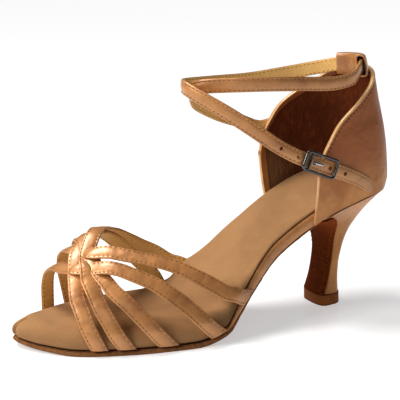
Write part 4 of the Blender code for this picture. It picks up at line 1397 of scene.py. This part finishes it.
class SANDAL_OT_buckle(bpy.types.Operator):
    """Makes the buckle's frame, bars and prong, and the tab that holds it"""

    bl_idname = "sandal.buckle"
    bl_label = "Buckle"

    def execute(self, context):
        look = context.scene.sandal
        metal = coat("buckle_chrome", chrome, look.chrome)
        bright = coat("pin_chrome", chrome, look.chrome, 8.0)
        front = -BUCKLE_FRONT + BUCKLE_WIRE / 2
        back = BUCKLE_LENGTH - BUCKLE_FRONT - BUCKLE_WIRE / 2
        _, up, face = ANKLE_BAND.directions(PRONG_KEY)
        path = []
        for number, (along, across) in enumerate(((back, 1), (front, 1), (front, -1), (back, -1))):
            middle_along = along + math.copysign(BUCKLE_CORNER, -along)
            middle_across = across * (BUCKLE_HALF - BUCKLE_CORNER)
            for i in range(9):
                turn = math.pi / 2 * (number + i / 8)
                path.append(by_buckle(
                    middle_along + BUCKLE_CORNER * math.cos(turn),
                    middle_across + BUCKLE_CORNER * math.sin(turn),
                    OVER,
                ))
        ring = hoop(path, RING_RADIUS, face)
        dressed(ring, "buckle_ring", metal, "buckle_frame")
        bar = [by_buckle(front + KEEPER, side * BUCKLE_HALF, OVER) for side in (-1, 0, 1)]
        dressed(rod(bar, KEEPER_RADIUS, face), "buckle_keeper_bar", metal)
        staple = [(1, OVER), (1, 0.4 * OVER), (1, 0.0)]
        staple += [(1, -0.7 * UNDER), (0.93, -0.93 * UNDER), (0.75, -UNDER)]
        staple += [(-side, out) for side, out in reversed(staple)]
        held = [by_buckle(HELD_BAR, side * BUCKLE_HALF, out) for side, out in staple]
        dressed(rod(held, HELD_RADIUS, up.cross(face)), "buckle_held_bar", bright)
        eye = BUCKLE_WIRE / 2 + GAP + PRONG_WIRE / 2
        over = ANKLE_THICKNESS / 2 + 1.5 * GAP + PRONG_WIRE / 2
        pin = [(PRONG_REACH, over), (PRONG_REACH / 2, over), (0.9 * HOLE_RADIUS, over)]
        pin += [(0.2 * HOLE_RADIUS, over - PRONG_WIRE / 3), (-0.1 * HOLE_RADIUS, 0.0)]
        pin.append((HELD_BAR + eye, 0.7 * eye - UNDER))
        for i in range(13):
            turn = -math.pi * 1.25 * i / 12
            pin.append((HELD_BAR + eye * math.cos(turn), eye * math.sin(turn) - UNDER))
        path = [by_buckle(along, 0.0, out) for along, out in pin]
        dressed(rod(path, PIN_RADIUS, up), "buckle_pin", bright, "buckle_prong")
        cloth = coat("satin", satin, look.satin)
        dressed(copy_of("buckle_tab", 0.0002), "buckle_tab_strip", cloth, "buckle_tab", 40)
        return {"FINISHED"}


class SANDAL_OT_heel(bpy.types.Operator):
    """Makes the covered heel, its suede flap with stitches, and the tip"""

    bl_idname = "sandal.heel"
    bl_label = "Heel"

    def execute(self, context):
        look = context.scene.sandal
        cloth = coat("cup_satin_cloth", satin, look.satin, **DULL_WITH_PAINTED_SHADE)
        dressed(copy_of("heel", 0.0004, 1), "heel_cover", cloth, "heel")
        flap = coat("flap_suede", suede, look.flap, paler=(0.034, 0.056))
        dressed(copy_of("heel_flap", 0.0003, 1), "flap_leather", flap, "heel_flap")
        tip = coat("tip_rubber", rubber, look.tip)
        dressed(copy_of("heel_tip", 0.0004), "tip_block", tip, "heel_tip", 50)
        rows = []
        for side in (-1, 1):
            line = []
            for i in range(41):
                up = blend(0.02, 0.92, i / 40)
                first = math.radians(HEEL_AT["flap"](up))
                half = (heel_point(first, up) - heel_point(math.pi, up)).length
                line.append(((first + FLAP_SEAM / max(half, 0.004)) * -side, up))
            points = [heel_point(turn, up, GAP + FLAP_THICKNESS + 0.00005) for turn, up in line]
            lengths = distances(points)
            path = path_through(lengths, points)
            turns = curve_through(lengths, [turn for turn, _ in line])
            ups = curve_through(lengths, [up for _, up in line])

            def place(length, path=path, turns=turns, ups=ups):
                point = path(length)
                run = (path(length + 0.0004) - point).normalized()
                turn, up = turns(length), ups(length)
                outer = heel_point(turn, up, FLAP_THICKNESS) - heel_point(turn, up)
                return point, run, (outer - run * outer.dot(run)).normalized()

            rows.append(spaced(place, lengths[-1], look.stitch_spacing))
        stitch_rows("flap_stitches", rows, look)
        return {"FINISHED"}


class SANDAL_PT_panel(bpy.types.Panel):
    """Lists the sandal's pieces, sizes and colours"""

    bl_idname = "SANDAL_PT_panel"
    bl_label = "Dance Sandal"
    bl_space_type = "VIEW_3D"
    bl_region_type = "UI"
    bl_category = "Sandal"

    def draw(self, context):
        for operator in OPERATORS:
            self.layout.operator(operator.bl_idname)
        for name in SandalSettings.__annotations__:
            self.layout.prop(context.scene.sandal, name)


OPERATORS = (
    SANDAL_OT_stage,
    SANDAL_OT_sole,
    SANDAL_OT_insole,
    SANDAL_OT_toe_straps,
    SANDAL_OT_cup,
    SANDAL_OT_tunnel,
    SANDAL_OT_ankle_strap,
    SANDAL_OT_buckle,
    SANDAL_OT_heel,
)
CLASSES = (SandalSettings, *OPERATORS, SANDAL_PT_panel)


def register():
    for made in CLASSES:
        bpy.utils.register_class(made)
    bpy.types.Scene.sandal = PointerProperty(type=SandalSettings)


def unregister():
    del bpy.types.Scene.sandal
    for made in reversed(CLASSES):
        bpy.utils.unregister_class(made)


def main():
    register()
    bpy.ops.sandal.stage()
    bpy.ops.sandal.sole()
    bpy.ops.sandal.insole()
    bpy.ops.sandal.toe_straps()
    bpy.ops.sandal.cup()
    bpy.ops.sandal.tunnel()
    bpy.ops.sandal.ankle_strap()
    bpy.ops.sandal.buckle()
    bpy.ops.sandal.heel()


if __name__ == "__main__":
    main()
